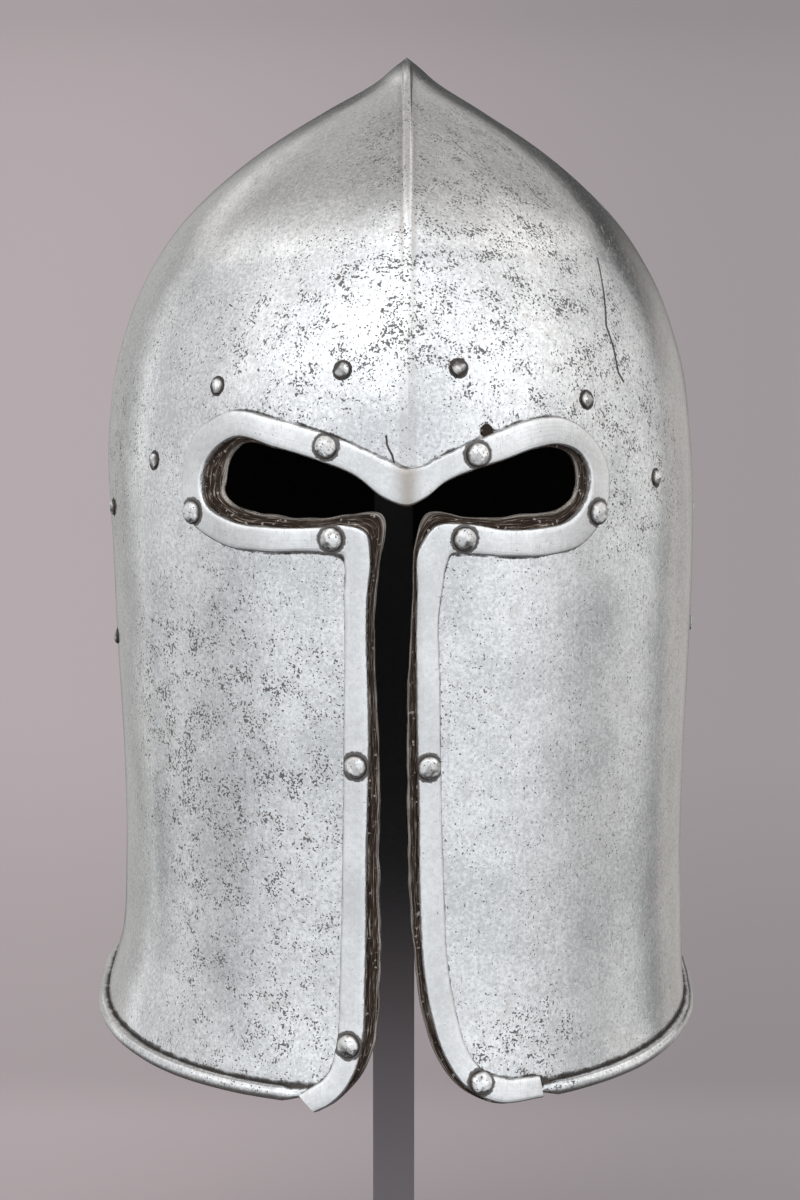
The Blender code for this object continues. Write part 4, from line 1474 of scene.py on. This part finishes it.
class BARBUTE_OT_strip_rivets(Operator):
    """Build the ten domed rivets of the strip, some with a broken head"""

    bl_idname = "mesh.barbute_strip_rivets"
    bl_label = "Domed rivets"

    def execute(self, context):
        form = helmet_form()
        sizes = context.scene.barbute_sizes
        finish = context.scene.barbute_finish
        materials = [rivet_finish(finish), inside_finish(finish)]
        radius = sizes.head_radius
        height = sizes.head_height
        seat = form.band_thickness
        places = form.band_rivet_matrices()
        for index, (row, place) in enumerate(zip(BAND_RIVETS, places), start=1):
            rivet = turned_rivet(radius, height, seat, form, sizes)
            chip = radians(row.chip)
            reach = radius * (1 - row.chip_depth)
            level = seat + CHIP_LEVEL * height
            point = Vector((cos(chip) * reach, sin(chip) * reach, level))
            cut_flat(rivet, point, Vector((cos(chip), sin(chip), CHIP_RISE)))
            rivet.transform(place)
            name = f"domed_rivet_{index:02d}"
            piece = piece_from(name, rivet, materials, DOMED_SHARP_ANGLE)
            fit_to_frame(piece, "rivet_steel", f"band_rivet_{index:02d}")
        return {"FINISHED"}


class BARBUTE_OT_lining_rivets(Operator):
    """Build the fourteen small hammered rivets of the lost lining"""

    bl_idname = "mesh.barbute_lining_rivets"
    bl_label = "Small rivets"

    def execute(self, context):
        form = helmet_form()
        sizes = context.scene.barbute_sizes
        finish = context.scene.barbute_finish
        materials = [rivet_finish(finish), inside_finish(finish)]
        radius = sizes.small_radius
        height = sizes.small_height
        places = form.lining_rivet_matrices()
        for index, (row, place) in enumerate(zip(LINING_RIVETS, places), start=1):
            rivet = turned_rivet(radius, height, 0.0, form, sizes)
            for turn, depth in (
                (row.flat_one, row.depth),
                (row.flat_two, SECOND_FLAT * row.depth),
            ):
                around = radians(turn)
                outward = Vector((FLAT_LEAN * cos(around), FLAT_LEAN * sin(around), 1))
                cut_flat(rivet, Vector((0, 0, height * (1 - depth))), outward)
            rivet.transform(place)
            name = f"small_rivet_{index:02d}"
            piece = piece_from(name, rivet, materials, SMALL_SHARP_ANGLE)
            fit_to_frame(piece, "rivet_steel", f"lining_rivet_{index:02d}")
        return {"FINISHED"}


class BARBUTE_OT_stand(Operator):
    """Paint the stand's base, post and cap"""

    bl_idname = "mesh.barbute_stand"
    bl_label = "Stand"

    def execute(self, context):
        material = stand_finish(context.scene.barbute_finish)
        for name in ("stand_base", "stand_post", "stand_cap"):
            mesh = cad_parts[name].data
            mesh.materials.clear()
            mesh.materials.append(material)
        return {"FINISHED"}


class BARBUTE_OT_studio(Operator):
    """Set the floor, the soft light and the camera"""

    bl_idname = "scene.barbute_studio"
    bl_label = "Studio"

    def execute(self, context):
        finish = context.scene.barbute_finish
        bm = bmesh.new()
        place = Matrix.Translation((0, 0, -FLOOR_GAP))
        bmesh.ops.create_circle(
            bm, cap_ends=True, segments=FLOOR_SIDES, radius=FLOOR_RADIUS, matrix=place
        )
        mesh = bpy.data.meshes.new("floor")
        bm.to_mesh(mesh)
        bm.free()
        mesh.materials.append(floor_finish(finish))
        floor = bpy.data.objects.new("floor", mesh)
        context.scene.collection.objects.link(floor)
        floor.visible_glossy = False
        self.light(context, finish)
        self.aim_camera(context)
        context.scene.view_settings.view_transform = "Standard"
        return {"FINISHED"}

    def light(self, context, finish):
        """Even light with soft brighter patches of a dome, and a plain backdrop."""
        world = bpy.data.worlds.new("studio")
        world.use_nodes = True
        context.scene.world = world
        shading = Shading(world.node_tree)
        direction = shading.texture_place.outputs["Generated"]
        total = (finish.ambient,) * 3
        for patch in LIGHT_PATCHES:
            round_way = radians(patch.azimuth)
            up = radians(patch.elevation)
            towards = Vector((sin(round_way) * cos(up), -cos(round_way) * cos(up), sin(up)))
            turn = shading.vector("DOT_PRODUCT", {0: direction, 1: towards}, 1)
            near = shading.soft(turn, cos(radians(patch.outer)), cos(radians(patch.inner)))
            warm = 1 + LIGHT_TINT * patch.warmth
            cool = 1 - LIGHT_TINT * patch.warmth
            lit = Vector((warm, 1.0, cool)) * patch.strength
            scaled = shading.vector("SCALE", {0: lit, "Scale": near})
            total = shading.vector("ADD", {0: total, 1: scaled})
        dome = shading.node("ShaderNodeBackground", None, {"Color": total})
        backdrop = shading.node("ShaderNodeBackground", None, {"Color": tint(finish.backdrop)})
        seen = shading.node("ShaderNodeLightPath").outputs["Is Camera Ray"]
        inputs = {0: seen, 1: dome.outputs[0], 2: backdrop.outputs[0]}
        mixed = shading.node("ShaderNodeMixShader", None, inputs)
        shading.node("ShaderNodeOutputWorld", None, {"Surface": mixed.outputs[0]})

    def aim_camera(self, context):
        """Camera at the photograph's place, a little above the middle."""
        camera_data = bpy.data.cameras.new("camera")
        camera_data.sensor_fit = "AUTO"
        camera_data.sensor_width = SENSOR
        camera_data.lens = SENSOR * CAMERA_FOCUS / PICTURE_HEIGHT
        camera_data.clip_end = 4 * FLOOR_RADIUS
        camera = bpy.data.objects.new("camera", camera_data)
        context.scene.collection.objects.link(camera)
        tilt = radians(CAMERA_ELEVATION)
        back = helmet_form().origin.y - CAMERA_DISTANCE * cos(tilt)
        up = AIM_HEIGHT + CAMERA_DISTANCE * sin(tilt)
        camera.location = (-CAMERA_DISTANCE / CAMERA_FOCUS, back, up)
        camera.rotation_euler = (radians(90) - tilt, 0, 0)
        context.scene.camera = camera


class BARBUTE_PT_panel(Panel):
    """The helmet's pieces and their settings"""

    bl_idname = "BARBUTE_PT_panel"
    bl_label = "Barbute helmet"
    bl_space_type = "VIEW_3D"
    bl_region_type = "UI"
    bl_category = "Barbute"

    def draw(self, context):
        for operator in OPERATORS:
            self.layout.operator(operator.bl_idname)
        for title, group in (
            ("Sizes", context.scene.barbute_sizes),
            ("Finish", context.scene.barbute_finish),
        ):
            box = self.layout.box()
            box.label(text=title)
            for name in group.__annotations__:
                box.prop(group, name)


# Camera and floor: lengths in metres, sensor in millimetres, the picture's height and
# the focal length in its pixels, and the elevation in degrees
SENSOR = 36
PICTURE_HEIGHT = 1200
CAMERA_FOCUS = 4701
CAMERA_DISTANCE = 1.5
CAMERA_ELEVATION = 8
AIM_HEIGHT = 0.2493
FLOOR_RADIUS = 60
FLOOR_GAP = 0.0005

# Heights between which painted shade darkens the post inside the bowl
STAND_UNSHADED_BELOW = 0.105
STAND_SHADED_ABOVE = 0.170

# How strongly a warm or cool light patch is coloured
LIGHT_TINT = 0.06

OPERATORS = (
    BARBUTE_OT_bowl,
    BARBUTE_OT_opening_edge,
    BARBUTE_OT_face_strip,
    BARBUTE_OT_strip_rivets,
    BARBUTE_OT_lining_rivets,
    BARBUTE_OT_stand,
    BARBUTE_OT_studio,
)
CLASSES = (BarbuteSizes, BarbuteFinish, *OPERATORS, BARBUTE_PT_panel)


def register():
    """Adds the operators, the panel and their settings."""
    for entry in CLASSES:
        bpy.utils.register_class(entry)
    bpy.types.Scene.barbute_sizes = PointerProperty(type=BarbuteSizes)
    bpy.types.Scene.barbute_finish = PointerProperty(type=BarbuteFinish)


def unregister():
    """Takes them away again."""
    del bpy.types.Scene.barbute_finish
    del bpy.types.Scene.barbute_sizes
    for entry in reversed(CLASSES):
        bpy.utils.unregister_class(entry)


def main():
    """Registers the add-on and builds every piece."""
    register()
    bpy.ops.mesh.barbute_bowl()
    bpy.ops.mesh.barbute_opening_edge()
    bpy.ops.mesh.barbute_face_strip()
    bpy.ops.mesh.barbute_strip_rivets()
    bpy.ops.mesh.barbute_lining_rivets()
    bpy.ops.mesh.barbute_stand()
    bpy.ops.scene.barbute_studio()


if __name__ == "__main__":
    main()
